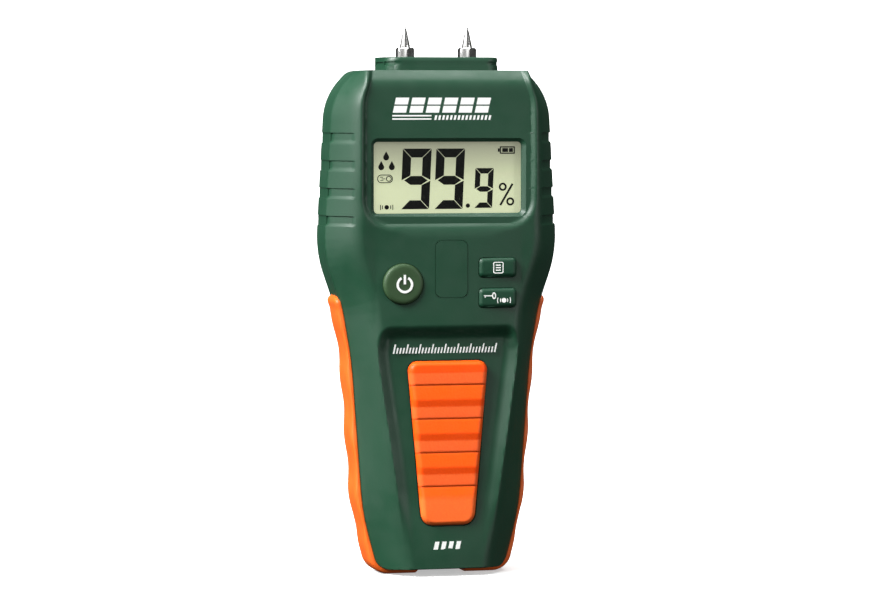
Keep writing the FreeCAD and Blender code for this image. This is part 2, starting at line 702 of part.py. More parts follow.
# what is soldered to the rear of the board: left edge, lowest edge, width, height, thickness
CHIP = ("-11", "112", "10", "10", "1.5")
CRYSTAL = ("-16", "121.6", "4.6", "10", "3.6")
SMALL_PARTS = [
    ("6", "108", "5", "4", "1.1"), ("-4", "98", "5", "6.2", "1.1"), ("-16", "104", "3.2", "1.6", "1.1"),
    ("-16", "108", "3.2", "1.6", "1.1"), ("8", "98", "3.2", "1.6", "1.1"), ("8", "94.5", "3.2", "1.6", "1.1"),
    ("14", "94.5", "2", "1.2", "1.1"), ("14", "98", "2", "1.2", "1.1"),
]
CAPACITOR_CENTRES = [("-16", "88"), ("-9.5", "88")]
BUZZER_CENTRE = ("13", "121")


def soldered(x, z, wide, high, thick):
    return box(x, BOARD_REAR, z, wide, thick, high)


def board_parts():
    """The microcontroller, the sounder and the small parts on the rear of the board."""
    node("microcontroller", soldered(*CHIP))
    x, z = BUZZER_CENTRE
    sounder = cylinder(x, BOARD_REAR, z, "buzzer_radius", "buzzer_deep", REARWARDS)
    sound_hole = cylinder(x, f"{BOARD_REAR} + buzzer_deep - 1", z, "1", "2", REARWARDS)
    node("buzzer", cut(sounder, sound_hole))
    cans = [
        cylinder(x, BOARD_REAR, z, "capacitor_radius", "capacitor_deep", REARWARDS)
        for x, z in CAPACITOR_CENTRES
    ]
    chips = [soldered(*part) for part in SMALL_PARTS]
    node("board_components", group(*cans, *chips, soldered(*CRYSTAL)))


def tact_switch(name, x, z):
    """A tactile switch on the front of the board, and its plunger, which moves with the button."""
    half = "switch_wide / 2"
    front = "board_front + switch_tall"
    shell = box(f"{x} - {half}", f"-({front})", f"{z} - {half}", "switch_wide", "switch_tall", "switch_wide")
    well = cylinder(x, f"-({front})", z, "plunger_radius + switch_gap", "switch_well", REARWARDS)
    node(f"{name}_switch", cut(shell, well))
    length = f"stem_rear - ({front}) + plunger_sunk"
    plunger = cylinder(x, "-stem_rear", z, "plunger_radius", length, REARWARDS)
    node(f"{name}_plunger", plunger)


# ---- buttons ----


def power_button():
    """The round button, with a flange that keeps it in and a stem that works the switch."""
    body = new_body("power_button")
    centre = [("-power_x", "power_z")]
    pad(body, circles(body, "button_wall_front", "power_radius", centre), "power_front - button_wall_front")
    face = -value("power_front")
    dress(body, "Fillet", "0.8", lambda p: abs(p.y - face) < TOLERANCE)
    flange = circles(body, "flange_rear", "power_radius + button_flange", centre)
    pad(body, flange, "button_wall_front - flange_rear")
    pad(body, circles(body, "stem_rear", "stem_radius", centre), "flange_rear - stem_rear")


def key_button(name, z):
    """A small rectangular button, built like the round one."""
    body = new_body(f"{name}_button")
    pad(body, outline(body, "button_wall_front", key_outline(z)), "key_front - button_wall_front")
    face = -value("key_front")
    dress(body, "Fillet", "0.5", lambda p: abs(p.y - face) < TOLERANCE)
    flange = outline(body, "flange_rear", key_outline(z, "button_flange"))
    pad(body, flange, "button_wall_front - flange_rear")
    pad(body, circles(body, "stem_rear", "stem_radius", [("key_x", z)]), "flange_rear - stem_rear")


def blank_key_plate():
    """The plate that fills the third key's place, which this model leaves blank."""
    body = new_body("blank_key_plate")
    inner = rectangle(
        "blank_x", "blank_z + blank_gap", "blank_wide - 2 * blank_gap", "blank_high - 2 * blank_gap", "2"
    )
    pad(body, outline(body, "crest_front - blank_deep", inner), "blank_deep")


# ---- electrodes ----


def electrode(side, sign):
    """One electrode: the pin with its hexagon and stud, the brass socket, and the contact to the board."""
    x = f"{sign}pin_x"
    hexagon = doc.addObject("Part::Prism", "Hexagon")
    hexagon.Polygon = 6
    bind(hexagon, Circumradius="hex_flats / sqrt(3)", Height="hex_high")
    place(hexagon, x, "0", "collar_top")
    cone = doc.addObject("Part::Cone", "Cone")
    bind(cone, Radius1="cone_radius", Radius2="tip_radius", Height="pin_top - collar_top - hex_high")
    place(cone, x, "0", "collar_top + hex_high")
    stud = cylinder(x, "0", "collar_top - stud_length", "stud_radius", "stud_length")
    node(f"electrode_pin_{side}", fuse(hexagon, cone, stud))

    barrel = cylinder(x, "0", "socket_low", "socket_radius", "collar_top - socket_low")
    bore = cylinder(x, "0", "socket_low + 3", "socket_bore", "collar_top - socket_low - 3")
    node(f"electrode_socket_{side}", cut(barrel, bore))

    left = f"{x} - contact_wide / 2"
    foot = "(board_low + board_high - contact_foot)"
    thick = "contact_thick"
    seat = box(
        left, BOARD_REAR, f"socket_low - {thick}", "contact_wide", f"contact_reach - {BOARD_REAR}", thick
    )
    leg = box(left, BOARD_REAR, foot, "contact_wide", thick, f"socket_low - {thick} / 2 - {foot}")
    node(f"electrode_contact_{side}", fuse(seat, leg))


# ---- sensor ----


def sensor_parts():
    """The raised pad that is pressed on the material, the plate inside it, and its lead."""
    body = new_body("sensor_pad")
    corners = rectangle("0", "sensor_low", "2 * sensor_x", "sensor_high", "sensor_round")
    sketch = outline(body, "sensor_seat - back_rear", corners)
    pad(body, sketch, "sensor_rear - back_rear + sensor_seat", True)
    face = value("sensor_rear")
    dress(body, "Fillet", "0.9", lambda p: abs(p.y - face) < TOLERANCE)
    plate = box(
        "-sensor_x + plate_margin", "door_inner_rear - plate_thick", "sensor_low + plate_margin",
        "2 * (sensor_x - plate_margin)", "plate_thick", "sensor_high - 2 * plate_margin",
    )
    node("sensor_plate", plate)


def tube(label, radius, points):
    """A wire along straight runs joined by tangent arcs, each as large as its runs allow."""
    edges = []
    start = points[0]
    for before, here, after in zip(points, points[1:], points[2:]):
        back, ahead = (before - here), (after - here)
        shorter = min(back.Length, ahead.Length)
        turn = math.pi - back.getAngle(ahead)
        back.normalize()
        ahead.normalize()
        bend = 0.45 * shorter / math.tan(turn / 2)
        reach = 0.45 * shorter
        entry, leaving = here + back * reach, here + ahead * reach
        inward = (back + ahead).normalize()
        middle = here + inward * (bend / math.cos(turn / 2) - bend)
        edges += [Part.LineSegment(start, entry).toShape(), Part.Arc(entry, middle, leaving).toShape()]
        start = leaving
        print(f"{label}: bend radius {bend:.1f}")
    edges.append(Part.LineSegment(start, points[-1]).toShape())
    path = Part.Wire(edges)
    section = Part.Wire(Part.makeCircle(radius, points[0], points[1] - points[0]))
    made = doc.addObject("Part::Feature", "Tube")
    made.Shape = path.makePipeShell([section], True, True)
    print(f"{label}: volume {made.Shape.Volume:.2f}, expected {path.Length * math.pi * radius ** 2:.2f}")
    return node(label, made)


def leads():
    """The two battery leads and the sensor's lead, each along its real route inside the case."""
    radius = value("lead_radius")
    rear = value(BOARD_REAR)
    top = value("battery_low + battery_high + plug_lift + plug_high")
    x, behind, rise = value("lead_x"), value("lead_rear"), value("lead_rise")
    for name, side in (("red", 1), ("black", -1)):
        route = [
            Vector(side * x, behind, top),
            Vector(side * x, behind, top + rise),
            Vector(side * x, rear, top + rise),
        ]
        tube(f"battery_lead_{name}", radius, route)
    plate = value("door_inner_rear - plate_thick")
    high, low = value("sensor_lead_z"), value("sensor_lead_z - sensor_lead_drop")
    route = [
        Vector(0, rear, high),
        Vector(0, rear + 5.0, high),
        Vector(0, plate - 6.0, low),
        Vector(0, plate, low),
    ]
    tube("sensor_lead", radius, route)


# ---- battery ----


def battery_parts():
    """The battery with its terminals, the press-on connector, the foam behind the battery and the door."""
    block = box(
        "-battery_x", "-battery_front", "battery_low", "2 * battery_x", "battery_deep", "battery_high"
    )
    node("battery", block)
    top = "battery_low + battery_high"
    middle = "battery_deep / 2 - battery_front"
    stud = cylinder("terminal_x", middle, top, "stud_terminal", "terminal_high")
    socket = cylinder("-terminal_x", middle, top, "socket_terminal", "terminal_high")
    node("battery_terminals", group(stud, socket))
    plate = box(
        "-plug_x", f"{middle} - plug_deep / 2", f"{top} + plug_lift", "2 * plug_x", "plug_deep", "plug_high"
    )
    rooms = [
        cylinder(x, middle, top, f"{radius} + 0.1", "terminal_high + 0.1")
        for x, radius in (("terminal_x", "stud_terminal"), ("-terminal_x", "socket_terminal"))
    ]
    node("battery_connector", cut(plate, *rooms))
    foam = box(
        "-foam_x", "-bay_front", "foam_low", "2 * foam_x", "bay_front - battery_front", "foam_high"
    )
    node("battery_foam", foam)


def battery_door():
    """The door with its hinge barrel and trunnions, latch tongue and thumb recess."""
    body = new_body("battery_door")
    pad(body, outline(body, "-door_inner_rear", door_outline()), "back_rear - door_inner_rear", True)
    barrel = circles(body, "-door_low_x", "barrel_radius", [("hinge_rear", "door_low_z")], role="YZ_Plane")
    pad(body, barrel, "2 * door_low_x")
    pins = circles(body, "-trunnion_x", "trunnion_radius", [("hinge_rear", "door_low_z")], role="YZ_Plane")
    pad(body, pins, "2 * trunnion_x")
    tongue = rectangle("0", "door_top_z - tongue_thick", "2 * tongue_x", "tongue_thick")
    pad(body, outline(body, "-tongue_rear", tongue), "door_inner_rear - tongue_rear", True)
    for i in range(3):
        low = f"thumb_low + {i} * thumb_pitch"
        rib = rectangle("0", low, "2 * thumb_x", "thumb_pitch - thumb_rib", "0.4")
        pocket(body, outline(body, "-back_rear", rib), "thumb_deep", True)


# ---- screws ----


def screw(x, z, seat, kind, shank_long):
    """A pan-head screw driven towards the display face, with a cross slot in its head."""
    radius, high = f"{kind}_head", f"{kind}_head_high"
    shank = cylinder(x, f"{seat} - ({shank_long})", z, f"{kind}_shank", shank_long, REARWARDS)
    head = cylinder(x, seat, z, radius, high, REARWARDS)
    top = f"{seat} + {high} - slot_deep"
    reach = f"{radius} * 0.7"
    slots = [
        box(f"{x} - {reach}", top, f"{z} - slot_wide / 2", f"2 * {reach}", "slot_deep + 1", "slot_wide"),
        box(f"{x} - slot_wide / 2", top, f"{z} - {reach}", "slot_wide", "slot_deep + 1", f"2 * {reach}"),
    ]
    return cut(fuse(shank, head), *slots)


def screws():
    """The four screws that join the case halves and the four that hold the board."""
    length = "head_seat_rear + screw_reach_front"
    case = [screw(x, z, "head_seat_rear", "case", length) for x, z in CASE_SCREWS]
    node("case_screws", group(*case))
    board = [screw(x, z, BOARD_REAR, "board", "board_shank_long") for x, z in BOARD_SCREWS]
    node("board_screws", group(*board))


def build():
    fill_sheet()
    front_case()
    rear_case()
    side_grip("left_side_grip", -1)
    side_grip("right_side_grip", 1)
    front_grip_pad()
    display_parts()
    main_board()
    board_parts()
    power_button()
    tact_switch("power", "-power_x", "power_z")
    for name, z in KEYS.items():
        key_button(name, z)
        tact_switch(name, "key_x", z)
    blank_key_plate()
    electrode("left", "-")
    electrode("right", "")
    sensor_parts()
    battery_parts()
    battery_door()
    screws()
    leads()
    doc.recompute()


def check_and_export():
    """Stops on any failed object or bad shape, and then writes one STEP file for each sub-part."""
    for thing in doc.Objects:
        if "Invalid" in thing.State or "Error" in thing.State:
            raise RuntimeError(f"{thing.Label} failed: {thing.State}")
    for thing in nodes:
        if thing.Shape.isNull() or not thing.Shape.isValid() or not thing.Shape.Solids:
            raise RuntimeError(f"{thing.Label} has no valid shape")
    os.makedirs("parts", exist_ok=True)
    for thing in nodes:
        thing.Shape.exportStep(os.path.join("parts", thing.Label + ".step"))
        box_of = thing.Shape.BoundBox
        print(
            f"{thing.Label}: {thing.Shape.Volume:.0f} mm3, {len(thing.Shape.Solids)} solids, "
            f"x {box_of.XMin:.1f} {box_of.XMax:.1f}, y {box_of.YMin:.1f} {box_of.YMax:.1f}, "
            f"z {box_of.ZMin:.1f} {box_of.ZMax:.1f}"
        )


build()
check_and_export()
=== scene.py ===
"""The look of a hand-held moisture meter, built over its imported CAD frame.

Lengths are in millimetres in the frame's own axes until a mesh is made: +Z up, -Y out of the display face.
A level is a distance in front of the middle plane, so a point of the face at level v has y = -v.
"""

import json
import math

import bmesh
import bpy
import numpy as np
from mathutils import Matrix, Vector


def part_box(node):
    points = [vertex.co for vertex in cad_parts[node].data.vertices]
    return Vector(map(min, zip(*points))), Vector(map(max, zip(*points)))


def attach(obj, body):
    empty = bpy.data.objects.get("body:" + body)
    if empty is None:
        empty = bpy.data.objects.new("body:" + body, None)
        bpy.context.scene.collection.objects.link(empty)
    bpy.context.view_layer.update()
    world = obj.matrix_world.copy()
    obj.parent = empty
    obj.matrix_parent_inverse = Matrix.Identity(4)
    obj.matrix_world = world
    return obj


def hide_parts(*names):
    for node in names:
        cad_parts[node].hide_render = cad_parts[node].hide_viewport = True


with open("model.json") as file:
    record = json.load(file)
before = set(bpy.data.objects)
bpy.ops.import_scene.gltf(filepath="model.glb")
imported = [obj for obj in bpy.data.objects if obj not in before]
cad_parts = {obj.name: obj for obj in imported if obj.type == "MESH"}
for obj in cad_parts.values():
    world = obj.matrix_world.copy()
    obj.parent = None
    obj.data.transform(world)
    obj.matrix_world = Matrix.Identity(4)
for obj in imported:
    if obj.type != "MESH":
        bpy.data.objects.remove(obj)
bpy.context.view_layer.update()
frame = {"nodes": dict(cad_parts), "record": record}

MM = 0.001


def box_mm(node):
    """A CAD node's lowest and highest corners in millimetres."""
    low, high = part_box(node)
    return np.array(low) / MM, np.array(high) / MM


# ---- driving dimensions, the same as in the CAD source ----

# outline corners from the base to the top: half width, height, rounding
OUTLINE_CORNERS = [
    (19.5, 1.6, 4.5), (24.1, 18.5, 70.0), (27.35, 63.5, 90.0), (30.1, 79.5, 36.0),
    (35.6, 95.5, 35.0), (33.1, 141.5, 18.0), (26.0, 149.4, 5.0),
]
# the bevels' two edges, run on past the case's ends, which are rounded over on their own
SIDE_CORNERS = [(15.8, -13.0, 0)] + OUTLINE_CORNERS[1:-1] + [(22.0, 153.85, 0)]
CREST_CORNERS = [
    (10.1, -13.0, 0), (14.7, 18.5, 90.0), (21.2, 64.0, 60.0), (22.4, 80.0, 40.0),
    (27.7, 96.5, 25.0), (27.2, 141.0, 16.0), (22.9, 153.9, 0),
]
WALL = 2.0
PARTING_LEVEL = 5.6
EDGE_LEVEL = PARTING_LEVEL + 0.25
BEVEL_LEVEL = 6.6
CREST_LEVEL = 17.0
CREST_SOFTNESS = 2.2
# how far the side's curve into the bevel reaches, and how much it takes off, on the handle and on the head
SIDE_REACH = (2.0, 5.5)
SIDE_DROP = (0.3, 2.0)
TOP_ROUND = (143.2, 6.2, 3.6)
FOOT_ROUND = (3.4, 1.8, 1.6)
FACE_CROWN = 1.5
FOOT_DROP = 1.4
FOOT_DROP_HEIGHT = 40.0

RECESS_CORNERS = [(25.1, 104.3, 7.5), (25.1, 140.5, 14.0), (21.0, 153.9, 0)]
RECESS_LEVEL = 15.6
RECESS_WALL = (4.3, 1.9)

DISH_CORNERS = [(10.0, -12.0, 0), (14.5, 18.5, 60.0), (21.0, 63.5, 40.0), (21.8, 74.6, 4.5)]
DISH_DEPTH = 2.8
DISH_FOOT_DEPTH = 1.5
DISH_WALL = 4.2

GROOVE_LEVELS = [103.6 + 8.13 * i for i in range(4)]
GROOVE_HIGH = 3.1
GROOVE_DEPTH = 0.7
# how high the grooves' lower and upper edges are
GROOVE_RAMPS = (0.8, 0.25)
GROOVE_IN_X = 28.4

COLLAR_TOP = 153.3
PIN_SPACING = 19.0
CAVITY_LEVEL = 12.0
DISPLAY_BAY = (25.3, 103.0, 133.6, 13.8)
BUTTON_BAY = (22.4, 78.4, 96.6, 14.8)

PAD_CORNERS = [(8.0, 15.2, 3.8), (12.2, 63.9, 2.8)]
PAD_GAP = 0.28
PAD_LEVEL = 15.55
PAD_RISE = 0.95
PAD_PITCH = 10.0
PAD_FIRST_CREASE = 56.8


# ---- outlines ----


def unit(vector):
    return vector / np.linalg.norm(vector)


def mirrored(corners):
    """A closed outline from its right half, listed from the base to the top."""
    return corners + [(-x, z, r) for x, z, r in reversed(corners)]


def rectangle(x, z, wide, high, rounding=0.0):
    """A rectangle's corners from its middle."""
    corners = ((0.5, -0.5), (0.5, 0.5), (-0.5, 0.5), (-0.5, -0.5))
    return [(x + i * wide, z + j * high, rounding) for i, j in corners]


def rounded(corners, turn=5.0):
    """A closed outline's points from (x, z, radius) corners, with arcs in steps of `turn` degrees."""
    points = [np.array(corner[:2], float) for corner in corners]
    made = []
    for i, here in enumerate(points):
        radius = corners[i][2]
        if radius == 0:
            made.append(here)
            continue
        back = unit(points[i - 1] - here)
        ahead = unit(points[(i + 1) % len(points)] - here)
        half = math.acos(np.clip(back @ ahead, -1, 1)) / 2
        centre = here + unit(back + ahead) * radius / math.sin(half)
        start = here + back * radius / math.tan(half) - centre
        end = here + ahead * radius / math.tan(half) - centre
        first = math.atan2(start[1], start[0])
        sweep = math.atan2(end[1], end[0]) - first
        sweep = (sweep + math.pi) % (2 * math.pi) - math.pi
        count = max(2, math.ceil(abs(math.degrees(sweep)) / turn))
        for k in range(count + 1):
            angle = first + sweep * k / count
            made.append(centre + radius * np.array([math.cos(angle), math.sin(angle)]))
    return np.array(made)


def circle(x, z, radius, count=64):
    angles = np.linspace(0, 2 * math.pi, count, endpoint=False)
    return np.column_stack([x + radius * np.cos(angles), z + radius * np.sin(angles)])


def distance(x, z, loop):
    """The signed distance of points from a closed loop, positive inside."""
    shape = np.shape(x)
    px, pz = np.ravel(x), np.ravel(z)
    nearest = np.full(px.size, 1e9)
    inside = np.zeros(px.size, bool)
    for start, end in zip(loop, np.roll(loop, -1, axis=0)):
        along = end - start
        length = along @ along
        if length == 0:
            continue
        share = np.clip(((px - start[0]) * along[0] + (pz - start[1]) * along[1]) / length, 0, 1)
        gap = (px - start[0] - share * along[0]) ** 2 + (pz - start[1] - share * along[1]) ** 2
        nearest = np.minimum(nearest, gap)
        if start[1] != end[1]:
            crosses = (start[1] > pz) != (end[1] > pz)
            meets = start[0] + (pz - start[1]) * along[0] / along[1]
            inside ^= crosses & (px < meets)
    return np.where(inside, 1, -1).reshape(shape) * np.sqrt(nearest).reshape(shape)


def smooth(value, low, high):
    """0 below low, 1 above high, and an S-curve between."""
    share = np.clip((value - low) / (high - low), 0, 1)
    return share * share * (3 - 2 * share)


def ramp(value, softness):
    """0 for negative values and the value itself for positive ones, with a soft knee."""
    knee = (value + softness) ** 2 / (4 * softness)
    return np.where(value > softness, value, np.where(value < -softness, 0, knee))


OUTLINE = rounded(mirrored(OUTLINE_CORNERS))
SIDES = rounded(mirrored(SIDE_CORNERS))
CREST = rounded(mirrored(CREST_CORNERS))
RECESS = rounded(mirrored(RECESS_CORNERS))
DISH = rounded(mirrored(DISH_CORNERS))


# ---- the front face as a surface ----


def groove_profile(z):
    """1 on the floor of a finger groove, 0 on the lands, with a slope below and a step above."""
    profile = np.zeros_like(z)
    for low in GROOVE_LEVELS:
        high = low + GROOVE_HIGH
        inside = np.clip((z - low) / GROOVE_RAMPS[0], 0, 1) * np.clip((high - z) / GROOVE_RAMPS[1], 0, 1)
        profile = np.maximum(profile, inside)
    return profile


def bevelled_level(x, z):
    """The shell before anything is sunk into it: a flat face, bevelled sides and a rounded top."""
    edge = np.maximum(distance(x, z, SIDES), 0)
    crest = -distance(x, z, CREST)
    bevel = np.maximum(edge + crest, 0.8)
    head = smooth(z, 82.0, 100.0)
    top = CREST_LEVEL - FOOT_DROP * (1 - smooth(z, 4.0, FOOT_DROP_HEIGHT))
    top = top - FACE_CROWN * np.minimum((x / 22) ** 2, 1.0) * (1 - smooth(z, 78, 124))
    reach = SIDE_REACH[0] + (SIDE_REACH[1] - SIDE_REACH[0]) * head
    drop = SIDE_DROP[0] + (SIDE_DROP[1] - SIDE_DROP[0]) * head
    start = EDGE_LEVEL + drop
    softness = np.minimum(CREST_SOFTNESS, 0.55 * bevel)
    level = top - (top - start) * ramp(crest, softness) / bevel
    level = level - drop * (1 - np.minimum(edge / reach, 1)) ** 2
    level = soft_minimum(level, rounded_end(z, *TOP_ROUND, 1), 0.8)
    level = soft_minimum(level, rounded_end(z, *FOOT_ROUND, -1), 0.3)
    rim_level = PARTING_LEVEL + 1.2 + 12.0 * np.maximum(distance(x, z, OUTLINE), 0)
    return np.where(z < 8, soft_minimum(level, rim_level, 0.8), level)


def rounded_end(z, start, high, deep, way):
    """The level of a round-over that begins at a height and runs up (1) or down (-1)."""
    share = np.clip(way * (z - start) / high, 0, 1)
    return CREST_LEVEL + 0.4 - deep * share ** 2


def soft_minimum(first, second, softness):
    return first - ramp(first - second, softness)


def face_level(x, z):
    """The front shell's outer surface."""
    level = bevelled_level(x, z)
    below = (1 - smooth(z, 99, 105)) * (1 - smooth(np.abs(x), 12, 20))
    wall = RECESS_WALL[1] + (RECESS_WALL[0] - RECESS_WALL[1]) * below
    share = np.clip(1 + distance(x, z, RECESS) / wall, 0, 1)
    floor = soft_minimum(RECESS_LEVEL, rounded_end(z, *TOP_ROUND, 1) - 1.4, 0.8)
    sunk = share ** 2 * (1 + 2 * (1 - share) * below)
    level = level - np.maximum(level - floor, 0) * sunk
    depth = DISH_FOOT_DEPTH + (DISH_DEPTH - DISH_FOOT_DEPTH) * smooth(z, 10.0, 60.0)
    inward = np.clip(distance(x, z, DISH) / DISH_WALL, 0, 1)
    sunk = 1 - (1 - inward) ** 2
    sunk += (inward * inward * (3 - 2 * inward) - sunk) * smooth(z, 66.5, 71.5)
    level -= depth * smooth(z, 5.0, 26.0) * sunk
    level -= GROOVE_DEPTH * groove_profile(z) * smooth(np.abs(x), GROOVE_IN_X - 0.2, GROOVE_IN_X + 0.4)
    return level


def level_at(x, z):
    """The face's level at one point."""
    return float(face_level(np.array([float(x)]), np.array([float(z)]))[0])


def cavity_level(x, z, outer):
    """The front shell's inner surface, under an outer surface of known level."""
    edge = distance(x, z, OUTLINE) - WALL
    level = np.minimum(CAVITY_LEVEL, BEVEL_LEVEL + 1.25 * np.maximum(edge, 0))
    for half, low, high, floor in (DISPLAY_BAY, BUTTON_BAY):
        across = smooth(half + 0.4 - np.abs(x), 0, 0.4)
        along = smooth(z, low - 0.4, low) * (1 - smooth(z, high, high + 0.4))
        level += (floor - CAVITY_LEVEL) * across * along
    return np.minimum(level, outer - 1.1)


# ---- meshes ----


SMOOTH_ANGLE = 35.0


def add_object(name, vertices, faces, smooth_angle=SMOOTH_ANGLE):
    """A mesh object from millimetre points, smooth across edges flatter than an angle."""
    mesh = bpy.data.meshes.new(name)
    mesh.from_pydata((np.asarray(vertices, float) * MM).tolist(), [], faces)
    mesh.validate()
    shade(mesh, smooth_angle)
    made = bpy.data.objects.new(name, mesh)
    bpy.context.scene.collection.objects.link(made)
    return made


def shade(mesh, smooth_angle):
    mesh.shade_smooth()
    mesh.set_sharp_from_angle(angle=math.radians(smooth_angle))


def at_level(x, z, level):
    """Points with y = -level."""
    x, z, level = np.broadcast_arrays(x, z, level)
    return np.stack([x, -level, z], axis=-1).reshape(-1, 3)


def grid_faces(rows, columns, first=0, flip=False):
    """The quads of a grid whose points are stored row by row."""
    index = first + np.arange(rows * columns).reshape(rows, columns)
    corners = [index[:-1, :-1], index[:-1, 1:], index[1:, 1:], index[1:, :-1]]
    quads = np.stack(corners, axis=-1).reshape(-1, 4)
    return (quads[:, ::-1] if flip else quads).tolist()


def rim(rows, columns, first=0):
    """The indices round a grid's edge, in order."""
    index = first + np.arange(rows * columns).reshape(rows, columns)
    return np.concatenate([index[0, :-1], index[:-1, -1], index[-1, :0:-1], index[:0:-1, 0]])


def band_faces(first_loop, second_loop):
    """Quads between two closed loops of indices."""
    following = np.roll(np.arange(len(first_loop)), -1)
    return [
        [int(first_loop[i]), int(second_loop[i]), int(second_loop[j]), int(first_loop[j])]
        for i, j in enumerate(following)
    ]


def loft_faces(loops, count):
    """The sides and both ends of a solid whose points are stored as loops of equal length."""
    faces = []
    for k in range(loops - 1):
        faces += band_faces(k * count + np.arange(count), (k + 1) * count + np.arange(count))
    faces.append(list(range(count)))
    faces.append(list(range((loops - 1) * count, loops * count))[::-1])
    return faces


def stack(loops, levels):
    """A closed solid through loops of equal length, one per level."""
    vertices = np.vstack([at_level(loop[:, 0], loop[:, 1], level) for loop, level in zip(loops, levels)])
    return vertices, loft_faces(len(loops), len(loops[0]))


def merged(*parts):
    """Several (vertices, faces) as one."""
    vertices, faces, first = [], [], 0
    for points, quads in parts:
        vertices.append(points)
        faces += [[i + first for i in face] for face in quads]
        first += len(points)
    return np.vstack(vertices), faces


def facing_out(mesh_object):
    """Turns a closed mesh's faces outwards."""
    work = bmesh.new()
    work.from_mesh(mesh_object.data)
    bmesh.ops.recalc_face_normals(work, faces=work.faces)
    work.to_mesh(mesh_object.data)
    work.free()
    return mesh_object


def carve(target, vertices, faces):
    """Cuts closed solids out of an object."""
    tool = facing_out(add_object("cutter", vertices, faces))
    cut = target.modifiers.new("carve", "BOOLEAN")
    cut.operation = "DIFFERENCE"
    cut.solver = "EXACT"
    cut.object = tool
    graph = bpy.context.evaluated_depsgraph_get()
    mesh = bpy.data.meshes.new_from_object(target.evaluated_get(graph))
    target.modifiers.clear()
    target.data = mesh
    bpy.data.objects.remove(tool)
    shade(target.data, SMOOTH_ANGLE)


def piece(made, material, body="meter", replaces=()):
    """Gives an object its material, its body and the CAD nodes it stands for."""
    made.data.materials.clear()
    made.data.materials.append(material)
    if replaces:
        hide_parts(*replaces)
    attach(made, body)


# ---- materials ----


class Look:
    """A Principled material and the steps that build its node tree."""

    def __init__(self, name, colour, roughness, metallic=0.0, specular=0.5):
        self.material = bpy.data.materials.new(name)
        self.material.use_nodes = True
        self.tree = self.material.node_tree
        self.inputs = self.tree.nodes["Principled BSDF"].inputs
        self.inputs["Base Color"].default_value = paint(colour)
        self.inputs["Roughness"].default_value = roughness
        self.inputs["Metallic"].default_value = metallic
        self.inputs["Specular IOR Level"].default_value = specular

    def node(self, kind, **settings):
        made = self.tree.nodes.new(kind)
        for key, value in settings.items():
            setattr(made, key, value)
        return made

    def link(self, source, target):
        self.tree.links.new(source, target)

    def place(self):
        """The object's own coordinates, in metres."""
        return self.node("ShaderNodeTexCoord").outputs["Object"]

    def height(self):
        """The object's own Z, in metres."""
        parts = self.node("ShaderNodeSeparateXYZ")
        self.link(self.place(), parts.inputs["Vector"])
        return parts.outputs["Z"]

    def noise(self, scale, detail=3.0):
        """Noise with a scale in features per metre."""
        texture = self.node("ShaderNodeTexNoise")
        texture.inputs["Scale"].default_value = scale
        texture.inputs["Detail"].default_value = detail
        self.link(self.place(), texture.inputs["Vector"])
        return texture.outputs["Fac"]

    def span(self, source, start, end, low=0.0, high=1.0, curve="LINEAR"):
        """Maps a source between two values onto a range."""
        made = self.node("ShaderNodeMapRange", interpolation_type=curve)
        for key, value in (("From Min", start), ("From Max", end), ("To Min", low), ("To Max", high)):
            made.inputs[key].default_value = value
        self.link(source, made.inputs["Value"])
        return made.outputs["Result"]

    def spread(self, scale, low, high, detail=3.0):
        """Noise of about 0.3 to 0.7, mapped onto a range."""
        return self.span(self.noise(scale, detail), 0.3, 0.7, low, high)

    def math(self, operation, first, second):
        """An operation on two values, each a number or a node's output."""
        made = self.node("ShaderNodeMath", operation=operation)
        for slot, value in zip(made.inputs, (first, second)):
            if isinstance(value, float):
                slot.default_value = value
            else:
                self.link(value, slot)
        return made.outputs[0]

    def blend(self, share, first, second, how="MIX"):
        """A mix of two colours. The share and the colours are values or node outputs."""
        made = self.node("ShaderNodeMix", data_type="RGBA", blend_type=how)
        for index, value in ((0, share), (6, first), (7, second)):
            if isinstance(value, (float, tuple)):
                made.inputs[index].default_value = value
            else:
                self.link(value, made.inputs[index])
        return made.outputs[2]

    def colour(self, source):
        self.link(source, self.inputs["Base Color"])

    def mottle(self, scale, first, second):
        """A base colour that wanders between two display colours."""
        self.colour(self.blend(self.spread(scale, 0, 1), paint(first), paint(second)))

    def finish(self, scale, low, high):
        """A roughness that wanders between two values."""
        self.link(self.spread(scale, low, high), self.inputs["Roughness"])

    def bump(self, source, depth):
        """A bump of a depth in metres."""
        relief = self.node("ShaderNodeBump")
        relief.inputs["Distance"].default_value = depth
        self.link(source, relief.inputs["Height"])
        self.link(relief.outputs["Normal"], self.inputs["Normal"])

    def glow(self, strength):
        self.inputs["Emission Strength"].default_value = strength


def paint(colour):
    """A colour of 0 to 255 display values as opaque linear light."""
    values = np.array(colour) / 255
    return (*np.where(values <= 0.04045, values / 12.92, ((values + 0.055) / 1.055) ** 2.4).tolist(), 1)


def moulded(name, colour, other, roughness, specular=0.5, grain=2600.0, depth=0.00002):
    """Moulded plastic or rubber: a fine grain, a faint mottle, and a finish that varies a little."""
    look = Look(name, colour, roughness, specular=specular)
    look.mottle(55.0, colour, other)
    look.finish(180.0, roughness - 0.05, roughness + 0.06)
    look.bump(look.noise(grain, 2.0), depth)
    return look.material


def metal(name, colour, roughness):
    """Plated or turned metal with a finish that varies a little."""
    look = Look(name, colour, roughness, metallic=1.0)
    look.finish(900.0, roughness * 0.8, roughness * 1.3)
    look.bump(look.noise(4000.0), 0.000004)
    return look.material


def ink(name, colour, roughness=0.5):
    """Printed ink or a liquid-crystal segment, a little uneven."""
    look = Look(name, colour, roughness)
    look.finish(700.0, roughness - 0.06, roughness + 0.06)
    return look.material


